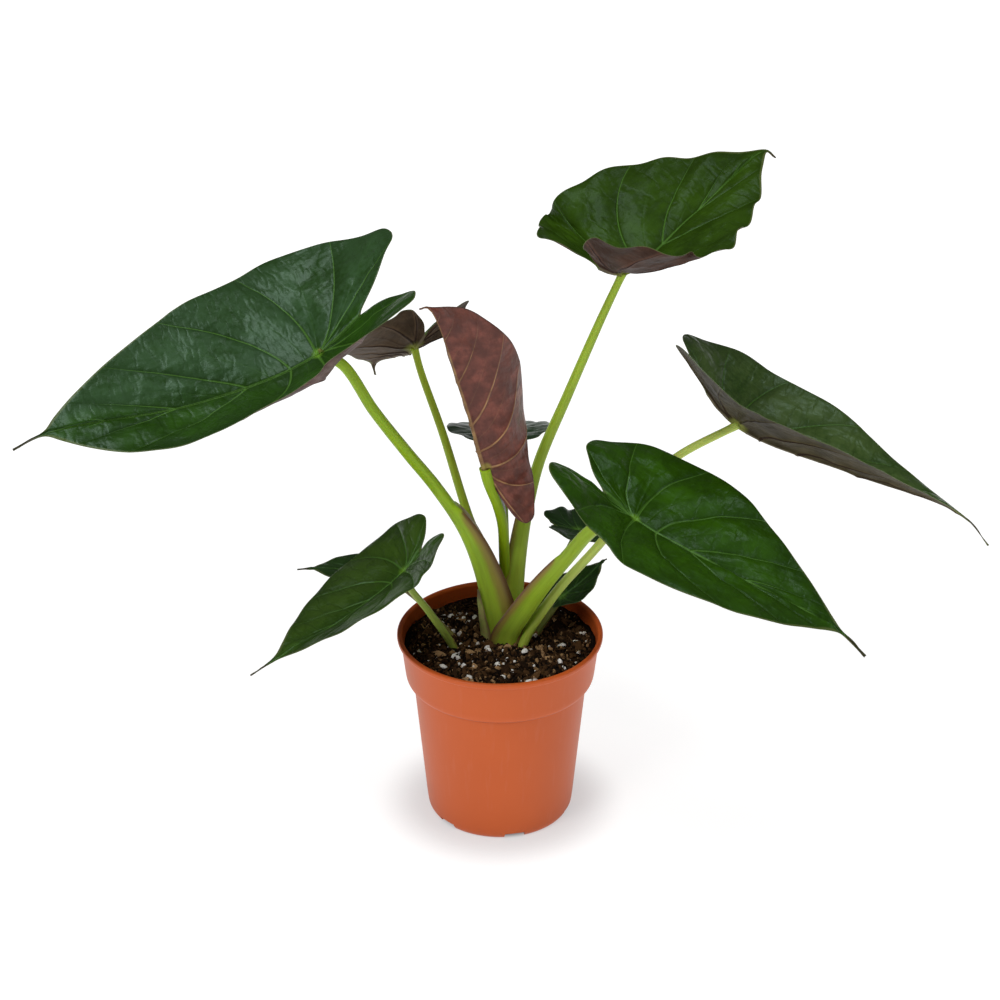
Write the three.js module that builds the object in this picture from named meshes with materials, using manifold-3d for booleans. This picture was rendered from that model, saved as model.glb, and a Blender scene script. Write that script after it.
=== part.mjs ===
// A potted alocasia: a nursery pot of potting mix, a corm in it, and eleven arrow-shaped leaves,
// each a blade on its own stalk. Millimetres, +Z up, the middle of the pot's base at the origin.
import * as THREE from 'three';
import { mergeVertices } from 'three/addons/utils/BufferGeometryUtils.js';
import Module from 'manifold-3d';

const wasm = await Module();
wasm.setup();

// Driving dimensions of the pot and the mix.
const POT_HEIGHT = 166;
const RIM_RADIUS = 85;
const BASE_RADIUS = 60.5;
const WALL = 1.6;
const WALL_SLOPE = 0.093;
const FLOOR = 2;
const COLLAR_HEIGHT = 43;
const COLLAR_STEP = 6.5;
const POT_SIDES = 40;
const MIX_SIDES = 32;
const SOIL_BELOW_RIM = 9;
const GAP = 0.3;
const NOTCH = { depth: 14, width: 18, height: 5, first: 42 };
const DRAIN = { radius: 4, place: 34, first: 12 };

// Driving dimensions of the plant.
const CORM_CENTRE = [6, 15, 124];
const CORM_RADII = [21, 19, 22];
const BLADE_THICKNESS = 1;
const MIDRIB_DEPTH = 3;
const MIDRIB_WIDTH = 3.5;
const TAIL_WIDTH = 1.8;
const STALK_SIDES = 12;
const WING_ANGLE = THREE.MathUtils.degToRad(50);
const GROOVE_SHARE = 0.08;
const SHEATH_HOLLOW = 0.4;

// Each blade: five points along its midrib, the way its upper face looks, its half width, and how
// its left and right halves fold and curl up at the lobes, a third along and at the tip (degrees).
// Where the halves differ, breadth, hind, shoulder and full are given for the left and the right:
// how broad the half is, how far its lobe reaches back, how broad the lobe is and how blunt the tip.
const BLADES = {
  left: {
    lobes: [-75, -20, 505], junction: [-141, -30, 434], middle: [-228, -65, 410],
    tip: [-344, -113, 407], tail: [-368, -118, 396], face: [0, -0.1, 1], width: 92,
    fold: [[-6, -9, -28], [-7, 32, 38]], curl: [[34, 70, 10], [5, 5, 0]],
    sinus: 0.45, lobe: 0.62, breadth: [0.87, 1], hind: [1.01, 1], shoulder: [1.1, 1.1], full: [1.18, 1.18],
  },
  right: {
    lobes: [141, 35, 405], junction: [191, 20, 347], middle: [281, 0, 315],
    tip: [370, -10, 282], tail: [395, -10, 253], face: [0, -0.1, 1], width: 73,
    fold: [[-14, -5, -14], [38, 46, 34]], curl: [[0, 36, 10], [10, 0, 0]],
    sinus: 0.42, lobe: 0.5, breadth: [1.01, 1], hind: [1, 1.12], shoulder: [1.04, 1], full: [1.08, 1],
  },
  front_right: {
    lobes: [53, -75, 367], junction: [104, -95, 324], middle: [169, -125, 298],
    tip: [262, -150, 255], tail: [281, -152, 234], face: [0, -0.1, 1], width: 80,
    fold: [[-12, 12, 5], [14, 16, 0]], curl: [[0, 0, 0], [0, 0, 0]],
    sinus: 0.42, lobe: 0.5, breadth: [1.03, 1.03], hind: [0.92, 1.12], shoulder: [1.02, 0.84], full: [1.06, 1],
  },
  top_right: {
    lobes: [50, 30, 501], junction: [98, 60, 463], middle: [155, 110, 490],
    tip: [216, 150, 530], tail: [224, 150, 524], face: [0.3, -0.1, 1], width: 85,
    fold: [[-30, 2, -4], [30, 27, 8]], curl: [[10, 0, 0], [20, 20, 0]],
    sinus: 0.35, lobe: 0.5, breadth: [1.18, 1.06], hind: [0.78, 1.1], shoulder: [1, 1], full: [0.92, 1.08],
  },
  front_left: {
    lobes: [-51, -25, 278], junction: [-77, -40, 246], middle: [-123, -75, 223],
    tip: [-179, -115, 207], tail: [-196, -120, 197], face: [0, -0.1, 1], width: 50,
    fold: [[25, 34, 25], [-8, -6, 5]], curl: [[0, 0, 0], [0, 0, 0]],
    sinus: 0.45, lobe: 0.48, breadth: [1.1, 1.12], shoulder: [0.9, 0.94],
  },
  furled: {
    lobes: [7, 10, 257], junction: [-12, 10, 313], middle: [-28, 5, 377],
    tip: [-56, 0, 459], tail: [-63, 0, 458], face: [0.66, 0.75, 0.2], width: 62,
    fold: [[30, 25, 8], [26, 24, 42]], curl: [[115, 105, 25], [95, 90, 40]],
    sinus: 0.06, lobe: 0.5, shoulder: [0.65, 0.68], full: [3.4, 1.2],
  },
  back_left: {
    lobes: [-49, 81, 418], junction: [-70, 90, 382], middle: [-86, 126, 358],
    tip: [-107, 165, 330], tail: [-106, 168, 319], face: [-0.2, 0.5, 0.85], width: 56,
    fold: [[10, 10, 5], [12, 12, 5]], curl: [[0, 0, 0], [0, 0, 0]],
    sinus: 0.42, lobe: 0.62, breadth: [1, 1.15],
  },
  back: {
    lobes: [2, 92, 292], junction: [0, 130, 283], middle: [-2, 190, 260],
    tip: [-3, 240, 238], tail: [-3, 250, 229], face: [0, 0, 1], width: 45,
    sinus: 0.4, lobe: 0.6,
  },
  back_right: {
    lobes: [38, 45, 243], junction: [65, 50, 234], middle: [97, 65, 235],
    tip: [124, 80, 235], tail: [131, 82, 230], face: [0, 0, 1], width: 30,
    sinus: 0.7, lobe: 0.45,
  },
  low_right: {
    lobes: [39, 22, 177], junction: [52, 27, 183], middle: [70, 38, 193],
    tip: [86, 48, 205], tail: [89, 48, 207], face: [0, 0, 1], width: 23,
    sinus: 0.4, lobe: 0.6, breadth: [1, 0.88], hind: [1, 0.8], shoulder: [1, 0.7],
  },
  low_left: {
    lobes: [-84, 20, 208], junction: [-106, 20, 209], middle: [-132, 20, 213],
    tip: [-156, 20, 214], tail: [-167, 20, 213], face: [0, 0, 1], width: 27,
    sinus: 0.4, lobe: 0.6,
  },
};

const PLAIN_FOLD = [[10, 5, 0], [10, 5, 0]];
const NO_CURL = [[0, 0, 0], [0, 0, 0]];

// Each stalk: its route from the corm or the mix up to the blade, its radii at the foot, where its
// sheath ends and at the blade, the share of it that is a sheath, how wide the sheath's wings are
// and, where it isn't simply up and inwards, the way the sheath is open.
const STALKS = {
  furled: {
    route: [[5, 31, 138], [5, 31, 165], [4.2, 29, 200], [3.5, 25, 224],
      [2.2, 19, 255], [-1.8, 14, 276], [-10.2, 10, 302]],
    radii: [5, 4.6, 4.2], sheath: 0.3, wings: 1,
  },
  top_right: {
    route: [[12, 23, 138], [13, 26, 183], [17, 36, 225], [22, 46, 254],
      [32, 58, 293], [54, 64, 349], [81, 63, 420]],
    radii: [7, 4.9, 3.2], sheath: 0.42, wings: 8, open: [-0.78, 0.6, 0.15],
  },
  right: {
    route: [[14, -6, 138], [20, -4, 160], [45, 1, 201], [83, 2, 250],
      [113, 4, 296], [142, 10, 323]],
    radii: [4.8, 3.9, 3.2], sheath: 0.3, wings: 0.5,
  },
  left: {
    route: [[-3, 14, 138], [-9, 12, 193], [-26, 8, 252], [-51, 4, 298],
      [-73, -4, 333], [-99, -15, 377], [-123, -25, 423]],
    radii: [8.5, 5.4, 4.3], sheath: 0.44, wings: 23.5,
  },
  front_right: {
    route: [[6, 3, 138], [8, 0, 162], [17, -7, 184], [37, -23, 226],
      [54, -36, 257], [71, -56, 291], [84, -71, 309]],
    radii: [8, 6.2, 4.8], sheath: 0.56, wings: 9.5,
  },
  back_left: {
    route: [[-5, 26, 138], [-8, 28, 203], [-27, 38, 257], [-47, 60, 319], [-65, 82, 365]],
    radii: [5, 4, 2.9], sheath: 0.3, wings: 1,
  },
  back: {
    route: [[5, 43, 138], [5, 49, 180], [4, 62, 215], [3, 85, 243]],
    radii: [4.5, 4, 3], sheath: 0.3, wings: 0.5,
  },
  back_right: {
    route: [[22, 22, 138], [32, 28, 180], [52, 38, 212]],
    radii: [3.6, 3.2, 2.4], sheath: 0.3, wings: 0.5,
  },
  low_right: {
    route: [[23, 13, 138], [30, 14, 155], [41, 20, 170]],
    radii: [3.4, 3, 2.2], sheath: 0.4, wings: 0.5,
  },
  front_left: {
    route: [[-28, -4, 128], [-37, -8, 153], [-58, -22, 198], [-73, -34, 228]],
    radii: [3.8, 3.4, 2.8], sheath: 0.3, wings: 0.5,
  },
  low_left: {
    route: [[-26, 6, 128], [-36, 6, 153], [-52, 8, 172], [-68, 13, 188], [-86, 17, 201]],
    radii: [2.6, 2.2, 1.8], sheath: 0.3, wings: 0.3,
  },
};

// The sizes of the loose bits that lie on the mix.
const PERLITE = { count: 24, small: 1.3, large: 2.7 };
const BARK = { count: 12, small: 2.5, large: 5 };
const BITS_SEED = 7;

const TOP_GREEN = new THREE.MeshStandardMaterial({ color: 0x1e3a1a, roughness: 0.35, metalness: 0 });
const FURLED_PURPLE = new THREE.MeshStandardMaterial({ color: 0x5a3532, roughness: 0.55, metalness: 0 });
const STALK_GREEN = new THREE.MeshStandardMaterial({ color: 0x8ea83c, roughness: 0.45, metalness: 0 });
const CORM_BROWN = new THREE.MeshStandardMaterial({ color: 0x5b4330, roughness: 0.85, metalness: 0 });
const DRY_TAN = new THREE.MeshStandardMaterial({ color: 0xb39a72, roughness: 0.8, metalness: 0 });
const SOIL_BROWN = new THREE.MeshStandardMaterial({ color: 0x2c1f17, roughness: 0.95, metalness: 0 });
const POT_ORANGE = new THREE.MeshStandardMaterial({ color: 0xbd5a3a, roughness: 0.45, metalness: 0 });

const vector = (point) => new THREE.Vector3(...point);
const blend = (from, to, share) => from + (to - from) * share;

// ---- Closed meshes and solids ---------------------------------------------------------------

function meshGeometry(points, triangles) {
  const geometry = new THREE.BufferGeometry();
  const places = points.flatMap((p) => [p.x, p.y, p.z]);
  geometry.setAttribute('position', new THREE.Float32BufferAttribute(places, 3));
  geometry.setIndex(triangles.flat());
  return geometry;
}

function toSolid(geometry) {
  const bare = geometry.clone();
  bare.deleteAttribute('normal');
  bare.deleteAttribute('uv');
  const merged = mergeVertices(bare, 1e-3);
  const vertProperties = new Float32Array(merged.attributes.position.array);
  const triVerts = new Uint32Array(merged.index.array);
  return new wasm.Manifold(new wasm.Mesh({ numProp: 3, vertProperties, triVerts }));
}

function toGeometry(solid) {
  const mesh = solid.getMesh();
  const geometry = new THREE.BufferGeometry();
  geometry.setAttribute('position', new THREE.BufferAttribute(new Float32Array(mesh.vertProperties), 3));
  geometry.setIndex(new THREE.BufferAttribute(new Uint32Array(mesh.triVerts), 1));
  return geometry;
}

// The largest body of a cut solid: slivers that a cut leaves beyond a neighbour are dropped.
function mainBody(solid) {
  const bodies = solid.decompose();
  return bodies.reduce((largest, body) => (body.volume() > largest.volume() ? body : largest));
}

// Rings of equal length joined into a closed body, with a fan over each end.
function loft(rings) {
  const sides = rings[0].length;
  const points = rings.flat();
  const triangles = [];
  for (let k = 0; k + 1 < rings.length; k += 1) {
    for (let i = 0; i < sides; i += 1) {
      const a = k * sides + i;
      const b = k * sides + ((i + 1) % sides);
      triangles.push([a, b, b + sides], [a, b + sides, a + sides]);
    }
  }
  const addCap = (ring, first, flip) => {
    const middle = ring.reduce((sum, p) => sum.add(p), new THREE.Vector3()).divideScalar(sides);
    const centre = points.push(middle) - 1;
    for (let i = 0; i < sides; i += 1) {
      const a = first + i;
      const b = first + ((i + 1) % sides);
      triangles.push(flip ? [centre, b, a] : [centre, a, b]);
    }
  };
  addCap(rings[0], 0, true);
  addCap(rings[rings.length - 1], (rings.length - 1) * sides, false);
  return meshGeometry(points, triangles);
}

// ---- Blades -----------------------------------------------------------------------------------

// The midrib as a curve measured in millimetres from the junction: negative towards the lobes.
function midribOf(blade) {
  const knots = [blade.lobes, blade.junction, blade.middle, blade.tip, blade.tail].map(vector);
  const curve = new THREE.CatmullRomCurve3(knots, false, 'centripetal');
  const line = curve.getPoints(240);
  const along = [0];
  for (let i = 1; i < line.length; i += 1) along.push(along[i - 1] + line[i].distanceTo(line[i - 1]));
  const back = along[60];
  const at = (place) => {
    const run = Math.min(place + back, along[240]);
    let i = 1;
    while (i < 240 && along[i] < run) i += 1;
    return line[i - 1].clone().lerp(line[i], (run - along[i - 1]) / (along[i] - along[i - 1]));
  };
  const tangent = (place) => at(place + 1).sub(at(place - 1)).normalize();
  return { at, tangent, back, length: along[180] - back, tail: along[240] - along[180] };
}

// Half of the blade's margin, from the end of the tail round the lobe to the sinus, laid flat:
// each row is [place along the midrib, distance from it, where its side vein leaves the midrib].
function halfOutline(blade, midrib, side) {
  const { length, back, tail } = midrib;
  const { sinus, lobe } = blade;
  const own = (pair) => (pair === undefined ? 1 : pair[side > 0 ? 0 : 1]);
  const width = blade.width * own(blade.breadth);
  const flank = width * own(blade.shoulder);
  const forward = (place, reach, vein) => [
    place * length, reach ** (1 / own(blade.full)) * width, vein * length,
  ];
  const rearward = (place, reach, vein) => {
    const stretch = 1 + (own(blade.hind) - 1) * Math.min(1, reach / 0.2);
    return [-place * stretch * back, reach * flank, -vein * back];
  };
  return [
    [length + tail, TAIL_WIDTH / 2, length + tail],
    [length + tail / 2, TAIL_WIDTH / 2, length + tail / 2],
    [length, 1.2 * TAIL_WIDTH, length],
    forward(0.95, 0.085, 0.92),
    forward(0.87, 0.22, 0.8),
    forward(0.73, 0.45, 0.63),
    forward(0.55, 0.7, 0.45),
    forward(0.36, 0.89, 0.27),
    forward(0.15, 0.99, 0.125),
    [-0.06 * length, flank, 0.04 * length],
    rearward(0.45, 0.95, 0),
    rearward(0.78, 0.45 + 0.5 * lobe, 0),
    rearward(0.97, lobe + 0.06, 0),
    rearward(1, lobe - 0.12, 0),
    rearward(0.88, lobe - 0.27, 0),
    rearward(0.45 + 0.55 * sinus, 0.45 * (lobe - 0.3), 0.5 * sinus),
    rearward(sinus, 0, sinus),
  ];
}

// A value given at the lobes, a third along and at the tip, between them.
function alongBlade([lobes, third, tip], midrib, place) {
  const a = -midrib.back;
  const b = midrib.length / 3;
  const c = midrib.length;
  const x = THREE.MathUtils.clamp(place, a, c);
  return lobes * (x - b) * (x - c) / ((a - b) * (a - c))
    + third * (x - a) * (x - c) / ((b - a) * (b - c))
    + tip * (x - a) * (x - b) / ((c - a) * (c - b));
}

// Where a point of the flat blade lies once its half is folded and curled about the midrib.
function bladePoint(blade, midrib, place, reach, side) {
  const half = side > 0 ? 0 : 1;
  const { fold: folds = PLAIN_FOLD, curl: curls = NO_CURL } = blade;
  const fold = THREE.MathUtils.degToRad(alongBlade(folds[half], midrib, place));
  const turn = THREE.MathUtils.degToRad(alongBlade(curls[half], midrib, place)) / blade.width || 1e-6;
  const outward = (Math.sin(fold + turn * reach) - Math.sin(fold)) / turn;
  const upward = (Math.cos(fold) - Math.cos(fold + turn * reach)) / turn;
  const tangent = midrib.tangent(place);
  const face = vector(blade.face).normalize();
  const up = face.addScaledVector(tangent, -face.dot(tangent)).normalize();
  const left = new THREE.Vector3().crossVectors(up, tangent);
  return midrib.at(place).addScaledVector(left, side * outward).addScaledVector(up, upward);
}

// The blade's middle surface: rows of cells along its side veins, both halves sharing the midrib.
function bladeSurface(blade) {
  const midrib = midribOf(blade);
  const halves = new Map([1, -1].map((side) => [side, halfOutline(blade, midrib, side)]));
  const points = [];
  const ribs = [];
  const triangles = [];
  const add = (point, rib) => {
    ribs.push(rib);
    return points.push(point) - 1;
  };
  const veins = halves.get(1).map(([, , vein]) => vein);
  const spine = veins.map((vein, k) => {
    if (k > 0 && vein === veins[k - 1]) return -1;
    const taper = vein > 0 ? 1 - vein / (midrib.length + midrib.tail) : 1 + vein / midrib.back;
    return add(bladePoint(blade, midrib, vein, 0, 1), MIDRIB_DEPTH * Math.min(1, blade.width / 60) * taper);
  });
  spine.forEach((index, k) => {
    if (index < 0) spine[k] = spine[k - 1];
  });
  for (const side of [1, -1]) {
    const grid = halves.get(side).map(([place, reach, vein], k) => {
      if (reach === 0) return [spine[k], spine[k], spine[k], spine[k]];
      const first = THREE.MathUtils.clamp(MIDRIB_WIDTH / reach, 0.06, 0.34);
      const bendPlace = (vein + place) / 2 - 0.05 * midrib.length * Math.min(1, reach / 20);
      const onRay = (share) => {
        const rest = 1 - share;
        const p = rest * rest * vein + 2 * rest * share * bendPlace + share * share * place;
        const r = 2 * rest * share * 0.6 * reach + share * share * reach;
        return add(bladePoint(blade, midrib, p, r, side), 0);
      };
      return [spine[k], onRay(first), onRay((1 + first) / 2), onRay(1)];
    });
    for (let k = 0; k + 1 < grid.length; k += 1) {
      for (let j = 0; j < 3; j += 1) {
        const quad = [grid[k][j], grid[k + 1][j], grid[k + 1][j + 1], grid[k][j + 1]];
        const order = side > 0 ? [[0, 1, 2], [0, 2, 3]] : [[0, 2, 1], [0, 3, 2]];
        for (const [a, b, c] of order) {
          const corner = [quad[a], quad[b], quad[c]];
          if (new Set(corner).size === 3) triangles.push(corner);
        }
      }
    }
  }
  return { points, ribs, triangles };
}

// The middle surface given its thickness, with the midrib standing out below it, grown on all
// sides by a clearance where the body is used to cut its neighbours.
function bladeGeometry(blade, clearance = 0) {
  const { points, ribs, triangles } = bladeSurface(blade);
  const normals = points.map(() => new THREE.Vector3());
  for (const [a, b, c] of triangles) {
    const cross = points[b].clone().sub(points[a]).cross(points[c].clone().sub(points[a]));
    for (const i of [a, b, c]) normals[i].add(cross);
  }
  normals.forEach((normal) => normal.normalize());
  const edges = new Map();
  for (const [a, b, c] of triangles) {
    for (const [from, to] of [[a, b], [b, c], [c, a]]) {
      if (edges.has(`${to} ${from}`)) edges.delete(`${to} ${from}`);
      else edges.set(`${from} ${to}`, [from, to]);
    }
  }
  const outward = points.map(() => new THREE.Vector3());
  for (const [from, to] of edges.values()) {
    const edge = points[to].clone().sub(points[from]);
    for (const i of [from, to]) outward[i].add(edge.clone().cross(normals[i]));
  }
  outward.forEach((push) => push.setLength(push.length() > 0 ? 1.5 * clearance : 0));
  const half = BLADE_THICKNESS / 2 + clearance;
  const grown = points.map((p, i) => p.clone().add(outward[i]));
  const upper = grown.map((p, i) => p.clone().addScaledVector(normals[i], half));
  const lower = grown.map((p, i) => p.clone().addScaledVector(normals[i], -half - ribs[i]));
  const count = points.length;
  const body = triangles.flatMap(([a, b, c]) => [[a, b, c], [a + count, c + count, b + count]]);
  for (const [from, to] of edges.values()) {
    body.push([from, from + count, to + count], [from, to + count, to]);
  }
  return meshGeometry([...upper, ...lower], body);
}

// ---- Stalks -----------------------------------------------------------------------------------

// A stalk is round, a little hollowed on its inner side, and winged by its sheath near the foot.
function stalkGeometry(stalk, end, clearance = 0) {
  const knots = [...stalk.route, end].map(vector);
  const curve = new THREE.CatmullRomCurve3(knots, false, 'centripetal');
  const steps = Math.round(1.6 * knots.length);
  const [foot, knee, top] = stalk.radii;
  const away = knots[knots.length - 1].clone().sub(knots[0]).setZ(0).normalize();
  const rings = [];
  for (let k = 0; k <= steps; k += 1) {
    const share = k / steps;
    const centre = curve.getPointAt(share);
    const tangent = curve.getTangentAt(share);
    const inner = stalk.open ? vector(stalk.open) : new THREE.Vector3(0, 0, 1).addScaledVector(away, -0.7);
    inner.addScaledVector(tangent, -inner.dot(tangent)).normalize();
    const across = new THREE.Vector3().crossVectors(tangent, inner);
    const inSheath = Math.max(0, 1 - share / stalk.sheath);
    const radius = share < stalk.sheath
      ? blend(foot, knee, share / stalk.sheath)
      : blend(knee, top, (share - stalk.sheath) / (1 - stalk.sheath));
    const ring = [];
    for (let i = 0; i < STALK_SIDES; i += 1) {
      const angle = 2 * Math.PI * i / STALK_SIDES;
      const fromInner = Math.min(angle, 2 * Math.PI - angle);
      const wing = Math.max(0, Math.cos(2 * (fromInner - WING_ANGLE))) ** 2;
      const groove = Math.max(0, Math.cos(angle)) ** 4;
      const hollow = GROOVE_SHARE + SHEATH_HOLLOW * Math.min(1, stalk.wings) * inSheath;
      const wingReach = stalk.wings * Math.sqrt(inSheath);
      const reach = radius * (1 - hollow * groove) + wingReach * wing + clearance;
      ring.push(centre.clone()
        .addScaledVector(inner, reach * Math.cos(angle))
        .addScaledVector(across, reach * Math.sin(angle)));
    }
    rings.push(ring);
  }
  return loft(rings);
}

// ---- Pot, mix and corm --------------------------------------------------------------------------

const collarZ = POT_HEIGHT - COLLAR_HEIGHT;
const bodyTop = BASE_RADIUS + WALL_SLOPE * collarZ;
const collarFoot = bodyTop + COLLAR_STEP;
const lipRadius = RIM_RADIUS - 3;

const OUTSIDE = [
  [BASE_RADIUS - 2.5, 0], [BASE_RADIUS, 4], [BASE_RADIUS + 1, 12], [bodyTop, collarZ],
  [collarFoot - 2, collarZ + 2], [collarFoot, collarZ + 6], [lipRadius, POT_HEIGHT - 5],
  [RIM_RADIUS - 0.5, POT_HEIGHT - 4.5], [RIM_RADIUS, POT_HEIGHT - 3.5], [RIM_RADIUS, POT_HEIGHT - 1],
  [RIM_RADIUS - 1, POT_HEIGHT],
];
const INSIDE = [
  [RIM_RADIUS - 3.6, POT_HEIGHT], [lipRadius - WALL, POT_HEIGHT - 1.5],
  [collarFoot - WALL, collarZ + 6 + WALL], [collarFoot - 2 - WALL, collarZ + 3.5],
  [bodyTop - WALL, collarZ + 1], [BASE_RADIUS + 1 - WALL, 12], [BASE_RADIUS - 2 - WALL, FLOOR],
];

function potGeometry() {
  const profile = [[0, 0], ...OUTSIDE, ...INSIDE, [0, FLOOR]].map(([r, z]) => new THREE.Vector2(r, z));
  const turned = new THREE.LatheGeometry(profile, POT_SIDES);
  turned.rotateX(Math.PI / 2);
  let solid = toSolid(turned);
  // Six drain notches cut through the foot of the wall, and six drain holes through the floor.
  for (let i = 0; i < 6; i += 1) {
    const notch = new THREE.BoxGeometry(NOTCH.depth, NOTCH.width, 2 * NOTCH.height);
    notch.translate(BASE_RADIUS, 0, 0);
    notch.rotateZ(THREE.MathUtils.degToRad(NOTCH.first + 60 * i));
    solid = solid.subtract(toSolid(notch));
    const hole = new THREE.CylinderGeometry(DRAIN.radius, DRAIN.radius, 4 * FLOOR, 8);
    hole.rotateX(Math.PI / 2);
    hole.translate(DRAIN.place, 0, 0);
    hole.rotateZ(THREE.MathUtils.degToRad(DRAIN.first + 60 * i));
    solid = solid.subtract(toSolid(hole));
  }
  return toGeometry(solid);
}

// A repeatable stream of numbers from 0 to 1.
function randomStream(seed) {
  let state = seed;
  return () => {
    state = (state * 16807) % 2147483647;
    return state / 2147483647;
  };
}

const soilTop = (x, y) => POT_HEIGHT - SOIL_BELOW_RIM - 0.025 * y
  + 1.1 * Math.sin(0.11 * x + 1) * Math.cos(0.13 * y) + 0.7 * Math.sin(0.27 * x - 0.21 * y);

// The mix fills the pot to a lumpy top, GAP clear of its wall.
function mixSolid() {
  const wall = [[BASE_RADIUS - 2 - WALL - GAP, FLOOR + GAP], [BASE_RADIUS + 1 - WALL - GAP, 12],
    [bodyTop - WALL - GAP, collarZ + 1 + GAP], [collarFoot - 2 - WALL - GAP, collarZ + 3.5 + GAP],
    [collarFoot - WALL - GAP, collarZ + 6 + WALL]];
  const topRadius = blend(collarFoot, lipRadius, 0.7) - WALL - GAP;
  const rings = wall.map(([r, z]) => ({ r, z: () => z }));
  for (const share of [1, 0.8, 0.6, 0.4, 0.2]) rings.push({ r: topRadius * share, z: soilTop });
  return toSolid(loft(rings.map(({ r, z }) => {
    const ring = [];
    for (let i = 0; i < MIX_SIDES; i += 1) {
      const angle = 2 * Math.PI * i / MIX_SIDES;
      const x = r * Math.cos(angle);
      const y = r * Math.sin(angle);
      ring.push(new THREE.Vector3(x, y, z(x, y)));
    }
    return ring;
  })));
}

// Perlite grains and chips of bark lie half sunk in the mix.
function addBits(mix) {
  const random = randomStream(BITS_SEED);
  let solid = mix;
  for (let i = 0; i < PERLITE.count + BARK.count; i += 1) {
    const isBark = i >= PERLITE.count;
    const kind = isBark ? BARK : PERLITE;
    const size = blend(kind.small, kind.large, random());
    const radius = 68 * Math.sqrt(random());
    const angle = 2 * Math.PI * random();
    const bit = isBark
      ? new THREE.BoxGeometry(2 * size, size, 0.6 * size)
      : new THREE.OctahedronGeometry(size, 0);
    bit.rotateX(0.7 * random());
    bit.rotateZ(2 * Math.PI * random());
    const x = radius * Math.cos(angle);
    const y = radius * Math.sin(angle);
    bit.translate(x, y, soilTop(x, y));
    solid = solid.add(toSolid(bit));
  }
  return solid;
}

function cormGeometry(clearance = 0) {
  const corm = new THREE.SphereGeometry(1, 16, 10);
  corm.rotateX(Math.PI / 2);
  corm.scale(...CORM_RADII.map((radius) => radius + clearance));
  corm.translate(...CORM_CENTRE);
  return corm;
}

// The dry, papery leaf base that the oldest leaf left on the corm's left side: a strip that bends
// round the foot of the left leaf's stalk. Facing is the way its outside looks, in degrees from -X.
const OLD_SHEATH = {
  route: [[-11.5, 7.5, 142], [-12.8, 7, 160], [-15.6, 6.5, 182], [-18, 6, 202]],
  width: 13, thickness: 1.4, facing: 50,
};

function oldSheathGeometry(clearance = 0) {
  const curve = new THREE.CatmullRomCurve3(OLD_SHEATH.route.map(vector), false, 'centripetal');
  const facing = THREE.MathUtils.degToRad(OLD_SHEATH.facing);
  const outward = new THREE.Vector3(-Math.cos(facing), -Math.sin(facing), 0);
  const sideways = new THREE.Vector3(Math.sin(facing), -Math.cos(facing), 0);
  const rings = [];
  for (let k = 0; k <= 8; k += 1) {
    const half = 0.5 * OLD_SHEATH.width * blend(1, 0.15, (k / 8) ** 1.6) + clearance;
    const thick = 0.5 * OLD_SHEATH.thickness + clearance;
    const ring = [];
    for (let i = 0; i < 8; i += 1) {
      const angle = 2 * Math.PI * (i + 0.5) / 8;
      const across = half * Math.cos(angle);
      const hug = 0.05 * across * across;
      ring.push(curve.getPointAt(k / 8)
        .addScaledVector(sideways, across)
        .addScaledVector(outward, -hug - thick * Math.sin(angle)));
    }
    rings.push(ring);
  }
  return loft(rings);
}

// ---- Putting it together ------------------------------------------------------------------------

const group = new THREE.Group();

function addPart(name, geometry, material) {
  geometry.computeVertexNormals();
  const mesh = new THREE.Mesh(geometry, material);
  mesh.name = name;
  group.add(mesh);
}

addPart('pot', potGeometry(), POT_ORANGE);
addPart('corm', cormGeometry(), CORM_BROWN);

for (const [name, blade] of Object.entries(BLADES)) {
  addPart(`leaf_${name}`, bladeGeometry(blade), name === 'furled' ? FURLED_PURPLE : TOP_GREEN);
}

// Stalks are fitted from the youngest outwards, each cut clear of its blade, the corm and those
// before it, and the mix is cut clear of them all.
const cutters = [toSolid(cormGeometry(GAP))];
let mix = addBits(mixSolid()).subtract(cutters[0]);
for (const [name, stalk] of Object.entries(STALKS)) {
  const blade = BLADES[name];
  let solid = toSolid(stalkGeometry(stalk, blade.junction));
  solid = solid.subtract(toSolid(bladeGeometry(blade, GAP)));
  for (const cutter of cutters) solid = solid.subtract(cutter);
  addPart(`stalk_${name}`, toGeometry(mainBody(solid)), STALK_GREEN);
  const grown = toSolid(stalkGeometry(stalk, blade.junction, GAP));
  cutters.push(grown);
  mix = mix.subtract(grown);
}

let sheath = toSolid(oldSheathGeometry());
for (const cutter of cutters) sheath = sheath.subtract(cutter);
addPart('old_sheath', toGeometry(mainBody(sheath)), DRY_TAN);
mix = mix.subtract(toSolid(oldSheathGeometry(GAP)));
addPart('potting_mix', toGeometry(mainBody(mix)), SOIL_BROWN);

export default group;
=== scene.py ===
import itertools
import math

import bmesh
import bpy
import numpy as np
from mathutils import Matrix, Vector
from mathutils.bvhtree import BVHTree


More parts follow.
